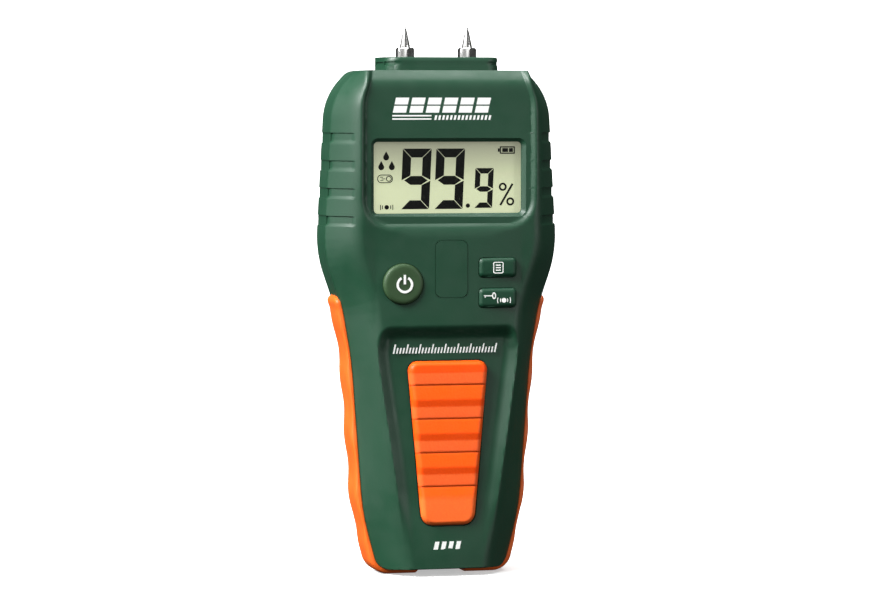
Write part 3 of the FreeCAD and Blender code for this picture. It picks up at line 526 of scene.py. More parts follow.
def clear_window():
    """Clear acrylic: mostly see-through, with a gloss that grows at grazing angles."""
    material = bpy.data.materials.new("window_clear")
    material.use_nodes = True
    nodes, links = material.node_tree.nodes, material.node_tree.links
    nodes.remove(nodes["Principled BSDF"])
    through = nodes.new("ShaderNodeBsdfTransparent")
    through.inputs["Color"].default_value = (0.97, 0.98, 0.97, 1)
    gloss = nodes.new("ShaderNodeBsdfGlossy")
    gloss.inputs["Roughness"].default_value = 0.05
    facing = nodes.new("ShaderNodeFresnel")
    facing.inputs["IOR"].default_value = 1.25
    mix = nodes.new("ShaderNodeMixShader")
    links.new(facing.outputs["Fac"], mix.inputs["Fac"])
    links.new(through.outputs["BSDF"], mix.inputs[1])
    links.new(gloss.outputs["BSDF"], mix.inputs[2])
    links.new(mix.outputs["Shader"], nodes["Material Output"].inputs["Surface"])
    return material


def display_panel_painted_shade_and_glow():
    """The reflective panel: pale yellow-green, a painted shade of grey-beige at its top edge where the
    frame shades it, a painted glow in its own colour though it is no lamp, and a fine fleck.
    """
    look = Look("display_glass", (210, 214, 176), 0.6)
    low, high = box_mm("lcd_panel")
    # painted shade: grey-beige towards the top edge, where the frame shades the panel
    share = look.span(look.height(), (low[2] + 9) * MM, high[2] * MM, curve="SMOOTHSTEP")
    shown = look.blend(share, paint((238, 243, 205)), paint((166, 166, 146)))
    look.colour(shown)
    # painted light: the panel glows in its own colour, though it is no lamp
    look.link(shown, look.inputs["Emission Color"])
    look.glow(0.5)
    look.bump(look.noise(3000.0), 0.00001)
    return look.material


def grip_rubber():
    """Orange overmould, a little mottled."""
    look = Look("grip_orange", (232, 100, 26), 0.45)
    look.mottle(240.0, (236, 105, 32), (228, 95, 24))
    look.finish(300.0, 0.38, 0.52)
    look.bump(look.noise(1500.0, 4.0), 0.00004)
    return look.material


# the colours down one rib of the pad, by distance below its crease: a painted shade at the crease, then
# grained, then deep, then smooth coral, and the painted shade again at the next crease
RIB_COLOURS_AND_CREASE_SHADE = [
    (0.0, (196, 66, 14)), (0.35, (240, 90, 8)), (3.9, (236, 88, 8)), (4.3, (255, 82, 8)),
    (6.1, (255, 82, 10)), (6.5, (250, 102, 42)), (9.6, (248, 98, 40)), (9.95, (196, 66, 14)),
]


def rib_bands_with_crease_shade(look, height):
    """The colour of a height on the pad, which starts again at every crease, with a painted shade along
    each crease.
    """
    below = look.math("SUBTRACT", PAD_FIRST_CREASE * MM, height)
    wrapped = look.math("FLOORED_MODULO", below, PAD_PITCH * MM)
    bands = look.node("ShaderNodeValToRGB")
    stops = bands.color_ramp.elements
    # the first and last stops are the painted shade along the crease
    for stop, (distance_below, colour) in zip(stops, (RIB_COLOURS_AND_CREASE_SHADE[0], RIB_COLOURS_AND_CREASE_SHADE[-1])):
        stop.position, stop.color = distance_below / PAD_PITCH, paint(colour)
    for distance_below, colour in RIB_COLOURS_AND_CREASE_SHADE[1:-1]:
        stops.new(distance_below / PAD_PITCH).color = paint(colour)
    look.link(look.math("DIVIDE", wrapped, PAD_PITCH * MM), bands.inputs["Fac"])
    return bands.outputs["Color"]


def pad_rubber():
    """The thumb pad's orange, in the bands of its ribs with a painted shade in their creases, and plain
    below the last one, with a grain.
    """
    look = Look("pad_orange", (226, 80, 10), 0.5, specular=0.25)
    height = look.height()
    last_crease = PAD_FIRST_CREASE - 3 * PAD_PITCH
    plain = look.span(height, (last_crease - 2.4) * MM, (last_crease - 4.0) * MM)
    base = look.blend(plain, rib_bands_with_crease_shade(look, height), paint((255, 112, 46)))
    grain = look.node("ShaderNodeCombineColor")
    for channel, low in (("Red", 0.96), ("Green", 0.9), ("Blue", 0.9)):
        look.link(look.spread(1800.0, low, 1.03, 4.0), grain.inputs[channel])
    look.colour(look.blend(1.0, base, grain.outputs["Color"], "MULTIPLY"))
    look.finish(300.0, 0.4, 0.55)
    look.bump(look.noise(1500.0, 4.0), 0.00006)
    return look.material


# ---- the front shell ----


def resampled(points, step):
    """Distances along a path in even steps, and the path's x and z there."""
    along = np.concatenate([[0], np.cumsum(np.linalg.norm(np.diff(points, axis=0), axis=1))])
    at = np.linspace(0, along[-1], int(along[-1] / step))
    return at, np.interp(at, along, points[:, 0]), np.interp(at, along, points[:, 1])


def shell_rows():
    """The grid rows' heights and half widths, with extra rows at the groove edges."""
    points = OUTLINE[: len(OUTLINE) // 2]
    points = points[np.concatenate([[True], np.diff(points[:, 1]) > 1e-6])]
    widths, heights = resampled(points, 0.42)[1:]
    marks = [
        low + offset for low in GROOVE_LEVELS
        for offset in (0, GROOVE_RAMPS[0], GROOVE_HIGH - GROOVE_RAMPS[1], GROOVE_HIGH)
    ]
    keep = [z for z in heights if min(abs(z - mark) for mark in marks) > 0.15]
    rows = np.array(sorted(keep + marks))
    return rows, np.interp(rows, heights, widths)


def shell_columns(half):
    """Positions across one row: evenly spaced near the sides, and sharing the middle."""
    side = np.arange(0, 12.01, 0.34)
    middle = np.linspace(-1, 1, 66)[1:-1]
    inner = half - side[-1]
    return np.concatenate([side - half, middle * inner, (half - side)[::-1]])


def shell_grids():
    """The face's points and the cavity's points below them, each as grids of x, z and level."""
    rows, halves = shell_rows()
    halves = halves - GROOVE_DEPTH * groove_profile(rows)
    x = np.array([shell_columns(half) for half in halves])
    z = np.repeat(rows[:, None], x.shape[1], axis=1)
    outer = face_level(x, z)
    outer[:, 0] = outer[:, -1] = outer[0] = EDGE_LEVEL
    low, high = rows[0], rows[-1]
    inner_z = low + WALL + (z - low) * (high - low - 2 * WALL) / (high - low)
    inner_half = np.interp(inner_z[:, 0], rows, halves) - WALL
    inner_half[0] -= WALL
    inner_half[-1] -= WALL
    inner_x = x * (inner_half / halves)[:, None]
    inner = cavity_level(inner_x, inner_z, face_level(inner_x, inner_z))
    inner[:, 0] = inner[:, -1] = inner[0] = inner[-1] = BEVEL_LEVEL
    return (x, z, outer), (inner_x, inner_z, inner)


def front_shell():
    """The front case: a grid over its face, a grid over its cavity, and a rim at the parting plane."""
    face, cavity = shell_grids()
    count, across = face[0].shape
    inner_first = count * across
    outer_rim = rim(count, across)
    inner_rim = rim(count, across, inner_first)
    edge_x, edge_z = [values.ravel()[outer_rim] for values in face[:2]]
    lip_x, lip_z = [values.ravel()[outer_rim] for values in cavity[:2]]
    low, high = edge_z.min(), edge_z.max()
    chamfer = 0.08
    pull_x = np.where(np.isin(edge_z, (low, high)), 0, np.sign(edge_x) * chamfer)
    pull_z = np.where(edge_z == low, -chamfer, np.where(edge_z == high, chamfer, 0))
    loops = [
        at_level(edge_x, edge_z, PARTING_LEVEL + chamfer),
        at_level(edge_x - pull_x, edge_z - pull_z, PARTING_LEVEL),
        at_level(lip_x, lip_z, PARTING_LEVEL),
    ]
    vertices = [at_level(*face), at_level(*cavity), *loops]
    firsts = [2 * inner_first + k * len(outer_rim) for k in range(3)]
    rings = [outer_rim] + [first + np.arange(len(outer_rim)) for first in firsts] + [inner_rim]
    faces = grid_faces(count, across) + grid_faces(count, across, inner_first, flip=True)
    for here, there in zip(rings, rings[1:]):
        faces += band_faces(here, there)
    return facing_out(add_object("front_shell", np.vstack(vertices), faces))


WINDOW_MIDDLE = (0.0, 117.9)
WINDOW_SIZE = (44.8, 21.0)
SEGMENTS_MIDDLE = (0.32, 117.7)
POWER = (-14.0, 86.8)
POWER_RADIUS = 6.0
KEYS = {"mode": (14.6, 91.35), "lock": (14.6, 82.4)}
KEY_SIZE = (11.6, 5.8)
FLANGE_LEVEL = 13.6
FLANGE_WIDE = 0.8
STEM_LEVEL = 12.1
STEM_RADIUS = 2.0
BLANK = (0.5, 91.1, 9.9, 17.0)
BLANK_SEAT_LEVEL = 16.0
PAD_SEAT_LEVEL = 13.4
# cutters end here, clear of the face
CLEAR_LEVEL = 20.0


def window_cutter():
    """The window's opening with a flared frame."""
    wide, high = WINDOW_SIZE
    flare = 1.2
    inner = rounded(rectangle(*WINDOW_MIDDLE, wide, high, 1.2), 9)
    outer = rounded(rectangle(*WINDOW_MIDDLE, wide + 2 * flare, high + 2 * flare, 1.2 + flare), 9)
    return stack([inner, inner, outer, outer], [12.0, 14.6, 15.62, CLEAR_LEVEL])


def hole_cutter(loop):
    """An opening from the cavity out through the face."""
    return stack([loop, loop], [12.5, CLEAR_LEVEL])


def front_case(material):
    """The front shell with its window, its key openings and the seats of the blank plate and the pad."""
    shell = front_shell()
    gap = 0.12
    keys = [
        rounded(rectangle(x, z, KEY_SIZE[0] + 2 * gap, KEY_SIZE[1] + 2 * gap, 1.3 + gap), 9)
        for x, z in KEYS.values()
    ]
    blank = rounded(rectangle(*BLANK, 2.0), 9)
    seat = [
        (x + PAD_GAP, z + way * PAD_GAP, radius + PAD_GAP)
        for way, (x, z, radius) in zip((-1, 1), PAD_CORNERS)
    ]
    pad = rounded(mirrored(seat), 6)
    cutters = merged(
        window_cutter(),
        hole_cutter(power_loop(-gap)),
        *[hole_cutter(loop) for loop in keys],
        stack([blank, blank], [BLANK_SEAT_LEVEL, CLEAR_LEVEL]),
        stack([pad, pad], [PAD_SEAT_LEVEL, CLEAR_LEVEL]),
    )
    carve(shell, *cutters)
    piece(shell, material, replaces=["front_case"])


def collar_half(material):
    """The front half of the electrode collar, with its top bead and cap groove."""
    half, deep, corner, groove_top = 17.2, 10.0, 4.2, 152.0
    heights = [
        (148.6, 0.0), (150.75, 0.0), (151.0, 0.45), (151.75, 0.45), (groove_top, 0.0),
        (COLLAR_TOP - 0.7, 0.0), (COLLAR_TOP - 0.2, 0.2), (COLLAR_TOP, 0.7),
    ]
    loops = []
    for z, inset in heights:
        wide, front = half - inset, deep - (inset if z > groove_top else 0)
        corners = [(wide, -PARTING_LEVEL, 0), (-wide, -PARTING_LEVEL, 0)]
        corners += [(-wide, -front, corner), (wide, -front, corner)]
        loop = rounded(corners, 6)
        loops.append(np.column_stack([loop, np.full(len(loop), z)]))
    faces = loft_faces(len(loops), len(loops[0]))
    made = facing_out(add_object("collar_front", np.vstack(loops), faces))
    piece(made, material, replaces=["front_case"])


# ---- grips and pad ----


# one rib of the pad: distances below its crease, and how far it stands out there
RIB_DISTANCES = [0.0, 0.3, 4.0, 4.4, 6.2, 6.5, 9.6, 10.0]
RIB_HEIGHTS = [0.1, 0.28, 0.72, 0.72, 0.38, 0.35, 0.38, 0.1]
LAST_RIB_DISTANCES = [0.0, 0.3, 2.6, 3.4, 7.0, 11.6]
LAST_RIB_HEIGHTS = [0.1, 0.28, 0.75, 0.8, 0.75, 0.6]


def pad_wave(z):
    """How far the thumb pad's ribs stand out."""
    lowest = PAD_FIRST_CREASE - 3 * PAD_PITCH
    rib = np.interp((PAD_FIRST_CREASE - z) % PAD_PITCH, RIB_DISTANCES, RIB_HEIGHTS)
    last = np.interp(lowest - z, LAST_RIB_DISTANCES, LAST_RIB_HEIGHTS)
    rib = np.where(z > PAD_FIRST_CREASE, np.minimum(rib, 0.38), rib)
    return np.where(z < lowest, last, rib)


def front_grip_pad(material):
    """The thumb pad: a ribbed face with a rounded edge, and a flat back in its seat."""
    loop = rounded(mirrored(PAD_CORNERS), 6)
    bottom, top = PAD_CORNERS[0][1], PAD_CORNERS[1][1]
    creases = [PAD_FIRST_CREASE - PAD_PITCH * i for i in range(4)]
    heights = np.arange(bottom + 0.02, top, 0.28)
    clear = [z for z in heights if min(abs(z - crease) for crease in creases) > 0.12]
    edges = [crease + offset for crease in creases for offset in (-0.1, 0, 0.1)]
    heights = np.array(sorted(clear + edges + [top - 0.02]))
    half = np.array([row_half(loop, z) for z in heights])
    side = 1 - 0.5 * (1 - np.cos(np.linspace(0, math.pi / 2, 12)[:-1]))
    across = np.concatenate([-side, np.linspace(-0.5, 0.5, 30), side[::-1]])
    x = half[:, None] * across[None, :]
    z = np.repeat(heights[:, None], x.shape[1], axis=1)
    edge = np.clip(distance(x, z, loop), 0, None)
    radius = 1.3
    fall = radius - np.sqrt(np.maximum(radius ** 2 - (radius - np.minimum(edge, radius)) ** 2, 0))
    level = PAD_LEVEL + PAD_RISE * pad_wave(z) * smooth(edge, 0, radius) - fall
    count, columns = x.shape
    top_points = at_level(x, z, level)
    ring = rim(count, columns)
    base = at_level(x.ravel()[ring], z.ravel()[ring], PAD_SEAT_LEVEL + 0.2)
    loops = count * columns + np.arange(len(ring))
    faces = grid_faces(count, columns) + band_faces(ring, loops) + [loops.tolist()]
    made = facing_out(add_object("front_grip_pad_ribbed", np.vstack([top_points, base]), faces, 50))
    # the orange casts no tint on the dish round it
    made.visible_diffuse = False
    made.visible_glossy = False
    piece(made, material, replaces=["front_grip_pad"])


def row_half(loop, z):
    """A mirrored loop's half width at a height."""
    right = loop[loop[:, 0] > 0]
    order = np.argsort(right[:, 1], kind="stable")
    return float(np.interp(z, right[order, 1], right[order, 0]))


GRIP_TOP = 83.0
GRIP_THICK = 1.4
GRIP_TIP = 2.2
SCALLOP_DEPTH = 0.66
SCALLOP_PITCH = 17.4
SCALLOP_VALLEY = 67.3
NOTCH_X = 7.1


def grip_path():
    """Points, outward normals and distances along the outline, from the notch up to the grip's tip."""
    half = OUTLINE[: len(OUTLINE) // 2]
    path = np.vstack([[NOTCH_X, half[0][1]], half[half[:, 0] > NOTCH_X]])
    path = path[path[:, 1] < GRIP_TOP]
    path = np.vstack([path, [np.interp(GRIP_TOP, half[:, 1], half[:, 0]), GRIP_TOP]])
    at, x, z = resampled(path, 0.45)
    points = np.column_stack([x, z])
    heading = np.gradient(points, axis=0)
    heading /= np.linalg.norm(heading, axis=1)[:, None]
    for _ in range(6):
        heading[1:-1] = (heading[:-2] + heading[1:-1] * 2 + heading[2:]) / 4
    heading /= np.linalg.norm(heading, axis=1)[:, None]
    normals = np.column_stack([heading[:, 1], -heading[:, 0]])
    return points, normals, at


def scallop(z):
    """How much the finger scallops take off the grip."""
    wave = SCALLOP_DEPTH / 2 * (1 + np.cos((z - SCALLOP_VALLEY) * 2 * math.pi / SCALLOP_PITCH))
    return wave * smooth(z, 6.0, 13.0) * (1 - smooth(z, 77.0, 82.0))


# the grip's section as (how far out in thicknesses, extra out in mm, y in mm)
GRIP_SECTION = [
    (0.0, -0.5, -5.9), (0.0, 0.0, -6.3), (0.45, 0.1, -6.25), (0.65, 0.1, -6.0), (0.86, 0.1, -5.4),
    (0.97, 0.1, -4.7), (1.0, 0.1, -3.6), (1.0, 0.1, -1.2), (1.0, 0.1, 1.4), (1.0, 0.1, 4.0),
    (0.97, 0.0, 5.2), (0.92, -0.4, 6.6), (0.86, -1.35, 9.0), (0.8, -1.95, 10.2), (0.55, -2.35, 10.9),
    (0.0, -2.7, 11.2), (0.0, -3.1, 10.6), (0.0, -1.2, 6.0), (0.0, -0.9, 0.0),
]


def side_grip(side, name, material):
    """An overmould swept along one side of the outline, from the notch in the foot to a rounded tip."""
    points, normals, at = grip_path()
    length = at[-1]
    tip = np.sqrt(np.clip(1 - ((at - (length - GRIP_TIP)) / GRIP_TIP).clip(0, 1) ** 2, 0.0016, 1))
    start = np.sqrt(np.clip(1 - ((0.5 - at) / 0.5).clip(0, 1) ** 2, 0.3, 1))
    rings = []
    for k, (point, normal) in enumerate(zip(points, normals)):
        thick = (GRIP_THICK - scallop(point[1])) * tip[k]
        if normal[1] < -0.3:
            thick = min(thick, point[1] / -normal[1])
        ring = []
        for share, extra, y in GRIP_SECTION:
            out = share * thick * start[k] + extra * (1 if extra < 0 else tip[k])
            shift = np.array([side * (point[0] + normal[0] * out), max(point[1] + normal[1] * out, 0.0)])
            ring.append((shift[0], 1.0 + (y - 1.0) * (0.35 + 0.65 * tip[k]), shift[1]))
        rings.append(ring)
    faces = loft_faces(len(rings), len(GRIP_SECTION))
    made = facing_out(add_object(name + "_scalloped", np.array(rings).reshape(-1, 3), faces, 40))
    piece(made, material, replaces=[name])


# ---- buttons ----


def key_solid(name, profile, outline_at, centre, material):
    """A key from its face profile, with the flange that keeps it in and the stem that works its switch."""
    shoulder = BUTTON_BAY[3] - 0.05
    flange = [(-FLANGE_WIDE, FLANGE_LEVEL), (-FLANGE_WIDE, shoulder), (0.0, shoulder)]
    rings = flange + profile
    cap = stack([outline_at(inset) for inset, level in rings], [level for inset, level in rings])
    stem = stack([circle(*centre, STEM_RADIUS, 32)] * 2, [STEM_LEVEL, FLANGE_LEVEL + 0.3])
    made = facing_out(add_object(f"{name}_key", *merged(cap, stem), 60))
    piece(made, material, f"{name}_key", [f"{name}_button"])


def power_button(material):
    """A round key with a rounded rim and a slightly raised edge."""
    front = -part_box("power_button")[0][1] / MM
    edge = ((0.0, 0.9), (0.12, 0.5), (0.4, 0.2), (0.85, 0.04), (1.3, 0.0))
    profile = [(inset, front - drop) for inset, drop in edge]
    profile += [(POWER_RADIUS * share, front - 0.1 * share) for share in (0.4, 0.7, 0.95)]
    key_solid("power", profile, power_loop, POWER, material)


def power_loop(inset):
    return circle(*POWER, POWER_RADIUS - inset, 96)


def small_key(name, material):
    """A rectangular key with a sloping edge all round."""
    front = -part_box(f"{name}_button")[0][1] / MM
    edge = ((0.0, 0.95), (0.12, 0.62), (0.65, 0.16), (0.95, 0.03), (1.3, 0.0))
    profile = [(inset, front - drop) for inset, drop in edge]
    key_solid(name, profile, lambda inset: key_loop(name, inset), KEYS[name], material)


def key_loop(name, inset):
    wide, high = KEY_SIZE[0] - 2 * inset, KEY_SIZE[1] - 2 * inset
    return rounded(rectangle(*KEYS[name], wide, high, max(1.35 - 0.7 * inset, 0.4)), 9)


# ---- printed marks ----

PRINT_THICK = 0.03


def plate(loop, level):
    """A thin printed shape from one loop."""
    return stack([loop, loop], [level - 0.02, level + PRINT_THICK])


def ring_plate(outer, inner, level):
    """A thin printed shape between two loops of equal length."""
    count = len(outer)
    loops = [outer, inner, inner, outer]
    levels = [level - 0.02, level - 0.02, level + PRINT_THICK, level + PRINT_THICK]
    vertices = np.vstack([at_level(loop[:, 0], loop[:, 1], v) for loop, v in zip(loops, levels)])
    faces = []
    for k in range(4):
        faces += band_faces(k * count + np.arange(count), ((k + 1) % 4) * count + np.arange(count))
    return vertices, faces


def frame_plate(x, z, outer, inner, turn, level):
    """A thin printed frame between two rectangles of (width, height, rounding)."""
    loops = [rounded(rectangle(x, z, *size), turn) for size in (outer, inner)]
    return ring_plate(*loops, level)


def arc_plate(x, z, radius, wide, start, end, level, steps=40):
    """A thin printed arc. Angles are in degrees from +X."""
    angles = np.radians(np.linspace(start, end, steps))
    ray = np.column_stack([np.cos(angles), np.sin(angles)])
    loop = np.vstack([ray * (radius + wide / 2), (ray * (radius - wide / 2))[::-1]]) + [x, z]
    return plate(loop, level)


def bar(x0, z0, x1, z1, wide, level):
    """A thin printed straight line."""
    ahead = unit(np.array([x1 - x0, z1 - z0]))
    aside = np.array([-ahead[1], ahead[0]]) * wide / 2
    ends = np.array([[x0, z0], [x1, z1]])
    return plate(np.array([ends[0] - aside, ends[1] - aside, ends[1] + aside, ends[0] + aside]), level)


def droplet(x, z, wide, high, level):
    """A drop: round below, pointed above."""
    radius = wide / 2
    centre = z - high / 2 + radius
    top = z + high / 2
    lean = math.asin(radius / (top - centre))
    angles = np.linspace(math.pi - lean, 2 * math.pi + lean, 36)
    loop = np.column_stack([x + radius * np.cos(angles), centre + radius * np.sin(angles)])
    return plate(np.vstack([loop, [x, top]]), level)


def print_piece(name, parts, material, body="meter"):
    """Several printed shapes as one piece."""
    made = facing_out(add_object(name, *merged(*parts), 30))
    piece(made, material, body)


def power_mark(material):
    """The usual power symbol."""
    level = -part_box("power_button")[0][1] / MM + 0.09
    x, z = POWER[0] + 0.2, POWER[1] - 0.15
    parts = [
        arc_plate(x, z, 2.15, 0.72, 118, 422, level),
        bar(x, z + 0.1, x, z + 2.9, 0.72, level),
    ]
    print_piece("power_mark", parts, material, "power_key")


def mode_mark(material):
    """A plain list symbol in a frame."""
    x, z = KEYS["mode"]
    level = -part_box("mode_button")[0][1] / MM
    parts = [frame_plate(x, z, (3.1, 3.4, 0.5), (2.6, 2.9, 0.3), 15, level)]
    parts += [bar(x - 0.75, z + dz, x + 0.75, z + dz, 0.34, level) for dz in (-0.75, 0, 0.75)]
    print_piece("mode_mark", parts, material, "mode_key")


def lock_mark(material):
    """A little key for lock, and a dot between waves for the sounder."""
    x, z = KEYS["lock"]
    level = -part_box("lock_button")[0][1] / MM
    oval = circle(0, 0, 1.0, 32)
    bow, shank_z = [x - 1.3, z + 0.68], z + 0.68
    parts = [
        ring_plate(oval * [0.62, 1.0] + bow, oval * [0.3, 0.62] + bow, level),
        bar(x - 4.4, shank_z, x - 1.9, shank_z, 0.3, level),
        bar(x - 4.0, shank_z, x - 4.0, z + 0.12, 0.28, level),
        plate(circle(x + 1.75, z - 0.7, 0.7, 24), level),
    ]
    for reach, half in ((1.1, 27), (2.0, 24)):
        parts.append(arc_plate(x + 1.75, z - 0.7, reach, 0.25, -half, half, level, 12))
        parts.append(arc_plate(x + 1.75, z - 0.7, reach, 0.25, 180 - half, 180 + half, level, 12))
    print_piece("lock_mark", parts, material, "lock_key")


LEAN = 0.22


def slanted_block(x, z, wide, high, level):
    """A printed parallelogram from its lower left corner."""
    left, top = x + LEAN * high, z + high
    return plate(np.array([(x, z), (x + wide, z), (left + wide, top), (left, top)]), level)


def front_marks(material):
    """Plain graphics where such meters carry their printing: blocks, lines, a scale and a small mark."""
    parts = []
    for i in range(6):
        x = -16.9 + 4.95 * i
        for lift in (0.0, 2.4):
            z = 136.95 + lift
            parts.append(slanted_block(x + LEAN * lift, z, 4.0, 2.0, level_at(0, z + 1)))
    for z in (135.85, 134.9):
        parts.append(slanted_block(-17.1, z, 11.8, 0.42, level_at(0, z)))
    for i in range(15):
        parts.append(slanted_block(-4.4 + 1.17 * i, 134.85, 0.62, 1.35, level_at(0, 135)))
    dish = level_at(0, 67.4)
    for i in range(33):
        high = 2.7 if i % 4 == 0 else 1.7
        parts.append(slanted_block(-16.6 + 0.96 * i, 66.2, 0.42, high, dish))
    foot = level_at(0, 9.3)
    for i in range(4):
        parts.append(slanted_block(-4.6 + 2.2 * i, 8.2, 1.3, 2.3, foot))
    print_piece("front_marks", parts, material)


# ---- the display ----


def digit(x, z, wide, high, thick, level, gap=0.13):
    """A seven-segment nine."""
    middle, half, slant = high * 0.475, thick / 2, 0.045
    left, right = thick + gap, wide - thick - gap
    inside, under = wide - thick, high - thick
    above, below = middle + half + gap, middle - half - gap
    shapes = [
        [(gap, high), (wide - gap, high), (right, under), (left, under)],
        [(0, high - gap), (thick, under - gap), (thick, above), (0, middle + gap * 0.5)],
        [(wide, high - gap), (wide, middle + gap), (inside, above), (inside, under - gap)],
        [
            (half * 0.6, middle), (left, middle + half), (right, middle + half),
            (wide - half * 0.6, middle), (right, middle - half), (left, middle - half),
        ],
        [(wide, middle - gap), (wide, gap), (inside, left), (inside, below)],
        [(gap * 2, 0), (left, thick), (right, thick), (wide - gap, 0)],
    ]
    return [
        plate(np.array([(x + a + (b - high / 2) * slant, z + b) for a, b in points]), level)
        for points in shapes
    ]


def display_segments(material):
    """The lit segments: drops, log, alarm, reading, percent sign and battery gauge."""
    level = -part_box("lcd_panel")[0][1] / MM + 0.02
    cx, cz = SEGMENTS_MIDDLE
    drops = ((-18.5, 6.6), (-20.0, 3.75), (-16.8, 3.75))
    parts = [droplet(cx + x, cz + z, 1.75, 2.7, level) for x, z in drops]
    log, end = (cx - 18.85, cz - 0.15), (cx - 17.7, cz - 0.15)
    parts.append(frame_plate(*log, (4.7, 2.5, 1.2), (4.2, 2.0, 0.95), 15, level))
    parts.append(ring_plate(circle(*end, 0.85, 28), circle(*end, 0.6, 28), level))
    for dx, dz, wide in ((-19.9, 0.35, 1.0), (-19.3, -0.15, 1.1), (-19.8, -0.6, 0.9)):
        parts.append(bar(cx + dx - wide / 2, cz + dz, cx + dx + wide / 2, cz + dz, 0.2, level))
    parts.append(plate(circle(cx - 18.35, cz - 8.5, 0.68, 24), level))
    for dx, high in ((-20.25, 1.5), (-19.65, 1.1), (-17.15, 1.1), (-16.5, 1.5)):
        parts.append(bar(cx + dx, cz - 8.5 - high / 2, cx + dx, cz - 8.5 + high / 2, 0.24, level))
    parts += digit(cx - 13.85, cz - 9.1, 8.7, 17.8, 2.6, level)
    parts += digit(cx - 3.7, cz - 9.1, 8.7, 17.8, 2.6, level)
    parts.append(plate(circle(cx + 6.25, cz - 8.15, 0.64, 24), level))
    parts += digit(cx + 8.3, cz - 8.85, 5.6, 11.75, 1.6, level, gap=0.12)
    for x, z in ((16.9, -2.65), (19.2, -7.0)):
        parts.append(ring_plate(circle(cx + x, cz + z, 1.22, 32), circle(cx + x, cz + z, 0.64, 32), level))
    parts.append(bar(cx + 16.15, cz - 8.1, cx + 19.9, cz - 1.75, 0.62, level))
    gauge = (cx + 18.3, cz + 8.2)
    parts.append(frame_plate(*gauge, (4.6, 2.2, 0.2), (3.9, 1.5, 0.1), 30, level))
    for start, end, high in ((16.75, 18.5, 1.15), (18.8, 20.0, 1.15), (15.4, 15.95, 1.0)):
        parts.append(bar(cx + start, gauge[1], cx + end, gauge[1], high, level))
    print_piece("display_segments", parts, material)


# ---- electrodes ----


def electrode(side, sign, material):
    """A pin: a chamfered hexagon under a slightly hollow cone that ends in a sharp tip."""
    low, high = box_mm(f"electrode_pin_{side}")
    x, count = sign * PIN_SPACING / 2, 48
    inradius, stud, cone = 2.5, 1.25, 1.52
    cone_low = COLLAR_TOP + 2.9
    angles = np.linspace(0, 2 * math.pi, count, endpoint=False)
    hexagon = inradius / np.cos((angles + math.pi / 6) % (math.pi / 3) - math.pi / 6)
    # radii and heights; a radius can be one number or one for each angle
    rings = [
        (0.9, low[2]), (stud, low[2] + 0.35), (stud, COLLAR_TOP), (hexagon, COLLAR_TOP),
        (hexagon, COLLAR_TOP + 2.45), (np.minimum(hexagon, inradius * 1.04), COLLAR_TOP + 2.65),
        (inradius * 0.93, cone_low), (cone, cone_low),
    ]
    for share in np.linspace(0.06, 1, 16):
        rings.append((cone * (1 - share) ** 0.92 + 0.07, cone_low + (high[2] - cone_low) * share))
    vertices = np.vstack([
        np.column_stack([x + radii * np.cos(angles), radii * np.sin(angles), np.full(count, z)])
        for radii, z in rings
    ])
    made = facing_out(add_object(f"pin_{side}_turned", vertices, loft_faces(len(rings), count), 30))
    piece(made, material, f"electrode_{side}", [f"electrode_pin_{side}"])


# ---- CAD nodes that keep their shape ----


def dress(materials):
    """Gives each shown CAD node the material of its slot."""
    slots = {part["node"]: part["material_slot"] for part in frame["record"]["subparts"]}
    for name, cad in frame["nodes"].items():
        cad.data.materials.clear()
        cad.data.materials.append(materials[slots[name]])


# moulded slots: a colour, the colour it wanders to and a roughness; then, where they aren't the usual
# ones, the specular level, the grain per metre and the grain's depth in metres
MOULDED = {
    "case_green": ((8, 60, 37), (7, 57, 35), 0.5, 0.62),
    "frame_white": ((226, 226, 220), (218, 218, 212), 0.35),
    "strip_rubber": ((196, 146, 146), (180, 130, 132), 0.6),
    "board_green": ((20, 84, 46), (16, 74, 40), 0.35, 0.5, 500.0),
    "chip_black": ((22, 22, 24), (28, 28, 30), 0.5),
    "component_grey": ((96, 94, 90), (84, 82, 80), 0.45),
    "key_olive": ((48, 73, 44), (45, 70, 41), 0.5, 0.4),
    "key_green": ((10, 57, 37), (9, 54, 34), 0.5, 0.4),
    "switch_black": ((18, 18, 20), (24, 24, 26), 0.35),
    "plunger_white": ((222, 222, 214), (212, 212, 206), 0.35),
    "sensor_black": ((26, 28, 28), (31, 33, 33), 0.4, 0.5, 1800.0),
    "battery_jacket": ((34, 36, 42), (40, 42, 50), 0.3, 0.6),
    "connector_black": ((20, 20, 21), (26, 26, 27), 0.4),
    "foam_grey": ((72, 72, 74), (58, 58, 60), 0.9, 0.5, 1200.0, 0.0001),
    "lead_red": ((178, 24, 22), (166, 20, 20), 0.4),
    "lead_black": ((18, 18, 18), (24, 24, 24), 0.4),
    "lead_white": ((222, 222, 216), (212, 212, 206), 0.4),
}
# metal slots: a colour and a roughness
METAL = {
    "electrode_steel": ((205, 205, 203), 0.16),
    "socket_brass": ((214, 172, 92), 0.28),
    "contact_steel": ((190, 190, 188), 0.3),
    "screw_steel": ((150, 150, 152), 0.32),
}


def make_materials():
    """The materials of the CAD slots, by name."""
    made = {name: moulded(name, *look) for name, look in MOULDED.items()}
    made.update({name: metal(name, *look) for name, look in METAL.items()})
    made["grip_orange"] = grip_rubber()
    made["window_clear"] = clear_window()
    made["display_glass"] = display_panel_painted_shade_and_glow()
    return made


# ---- studio ----


def paper():
    """White paper. A little light of its own keeps the object's shadow faint."""
    look = Look("paper", (243, 243, 242), 0.9, specular=0.1)
    look.mottle(3.0, (243, 243, 242), (240, 240, 239))
    look.inputs["Emission Color"].default_value = (1, 1, 1, 1)
    look.glow(0.45)
    return look.material


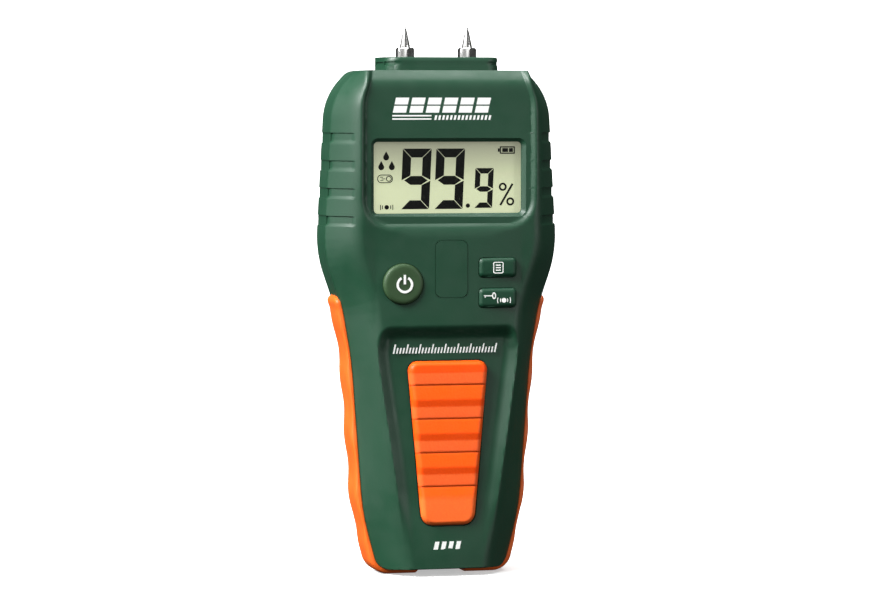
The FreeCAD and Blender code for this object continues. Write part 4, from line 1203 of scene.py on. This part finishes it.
def studio():
    """A pale floor that curves up into a backdrop, and soft light from the upper left."""
    bend, wide = 0.9, 3.2
    profile = [(-2.4, 0.0), (bend, 0.0)]
    for angle in np.linspace(0.1, math.pi / 2, 14):
        profile.append((bend + bend * math.sin(angle), bend - bend * math.cos(angle)))
    profile.append((2 * bend, 3.2))
    vertices = [(x / MM, y / MM, z / MM) for y, z in profile for x in (-wide, wide)]
    faces = [[2 * i, 2 * i + 1, 2 * i + 3, 2 * i + 2] for i in range(len(profile) - 1)]
    backdrop = add_object("backdrop", vertices, faces, 60)
    backdrop.data.materials.append(paper())
    backdrop.visible_diffuse = False
    backdrop.visible_glossy = False

    world = bpy.data.worlds.new("studio")
    bpy.context.scene.world = world
    world.use_nodes = True
    sky = world.node_tree.nodes["Background"].inputs
    sky["Color"].default_value = (1, 1, 1, 1)
    sky["Strength"].default_value = 0.06

    add_light("key", (-1.5, -0.6, 1.35), 0.9, 110)
    add_light("front_fill", (-1.1, -1.8, 0.95), 1.6, 11)
    add_light("right_fill", (1.2, -1.2, 0.35), 0.8, 8)
    add_light("overhead", (0.5, -0.25, 1.5), 0.3, 4)
    add_light("left_wall", (-1.5, 0.1, 0.4), 1.2, 8)
    add_light("backdrop_wash", (0.0, 0.4, 2.6), 2.2, 70, (0.0, 1.6, 0.4))


def add_light(name, place, size, power, aim=(0.0, 0.0, 0.09)):
    """A square area light at a place in metres."""
    lamp = bpy.data.lights.new(name, "AREA")
    lamp.size = size
    lamp.energy = power
    aimed(name, lamp, Vector(place), Vector(aim) - Vector(place))


def aimed(name, data, place, heading):
    """A light or camera at a place, looking along a heading."""
    made = bpy.data.objects.new(name, data)
    made.location = place
    made.rotation_mode = "QUATERNION"
    made.rotation_quaternion = heading.to_track_quat("-Z", "Y")
    bpy.context.scene.collection.objects.link(made)
    return made


def camera():
    """A long lens 1.1 m away, a little to the left of the object and above its middle."""
    azimuth, elevation, reach = math.radians(-14.0), math.radians(3.0), 1.1
    aim = Vector((0, 0, 0.0811))
    level = math.cos(elevation)
    back = Vector((math.sin(azimuth) * level, -math.cos(azimuth) * level, math.sin(elevation)))
    lens = bpy.data.cameras.new("camera")
    lens.sensor_width = 36.0
    lens.lens = 152.2
    lens.clip_start, lens.clip_end = 0.05, 20
    bpy.context.scene.camera = aimed("camera", lens, aim + back * reach, -back)


def build():
    materials = make_materials()
    white = ink("print_white", (240, 241, 238))
    black = ink("segment_black", (6, 6, 6), 0.7)
    dress(materials)
    front_case(materials["case_green"])
    collar_half(materials["case_green"])
    front_grip_pad(pad_rubber())
    side_grip(-1, "left_side_grip", materials["grip_orange"])
    side_grip(1, "right_side_grip", materials["grip_orange"])
    power_button(materials["key_olive"])
    for name in KEYS:
        small_key(name, materials["key_green"])
    power_mark(white)
    mode_mark(white)
    lock_mark(white)
    front_marks(white)
    display_segments(black)
    electrode("left", -1, materials["electrode_steel"])
    electrode("right", 1, materials["electrode_steel"])
    studio()
    camera()
    bpy.context.scene.view_settings.view_transform = "Standard"


build()
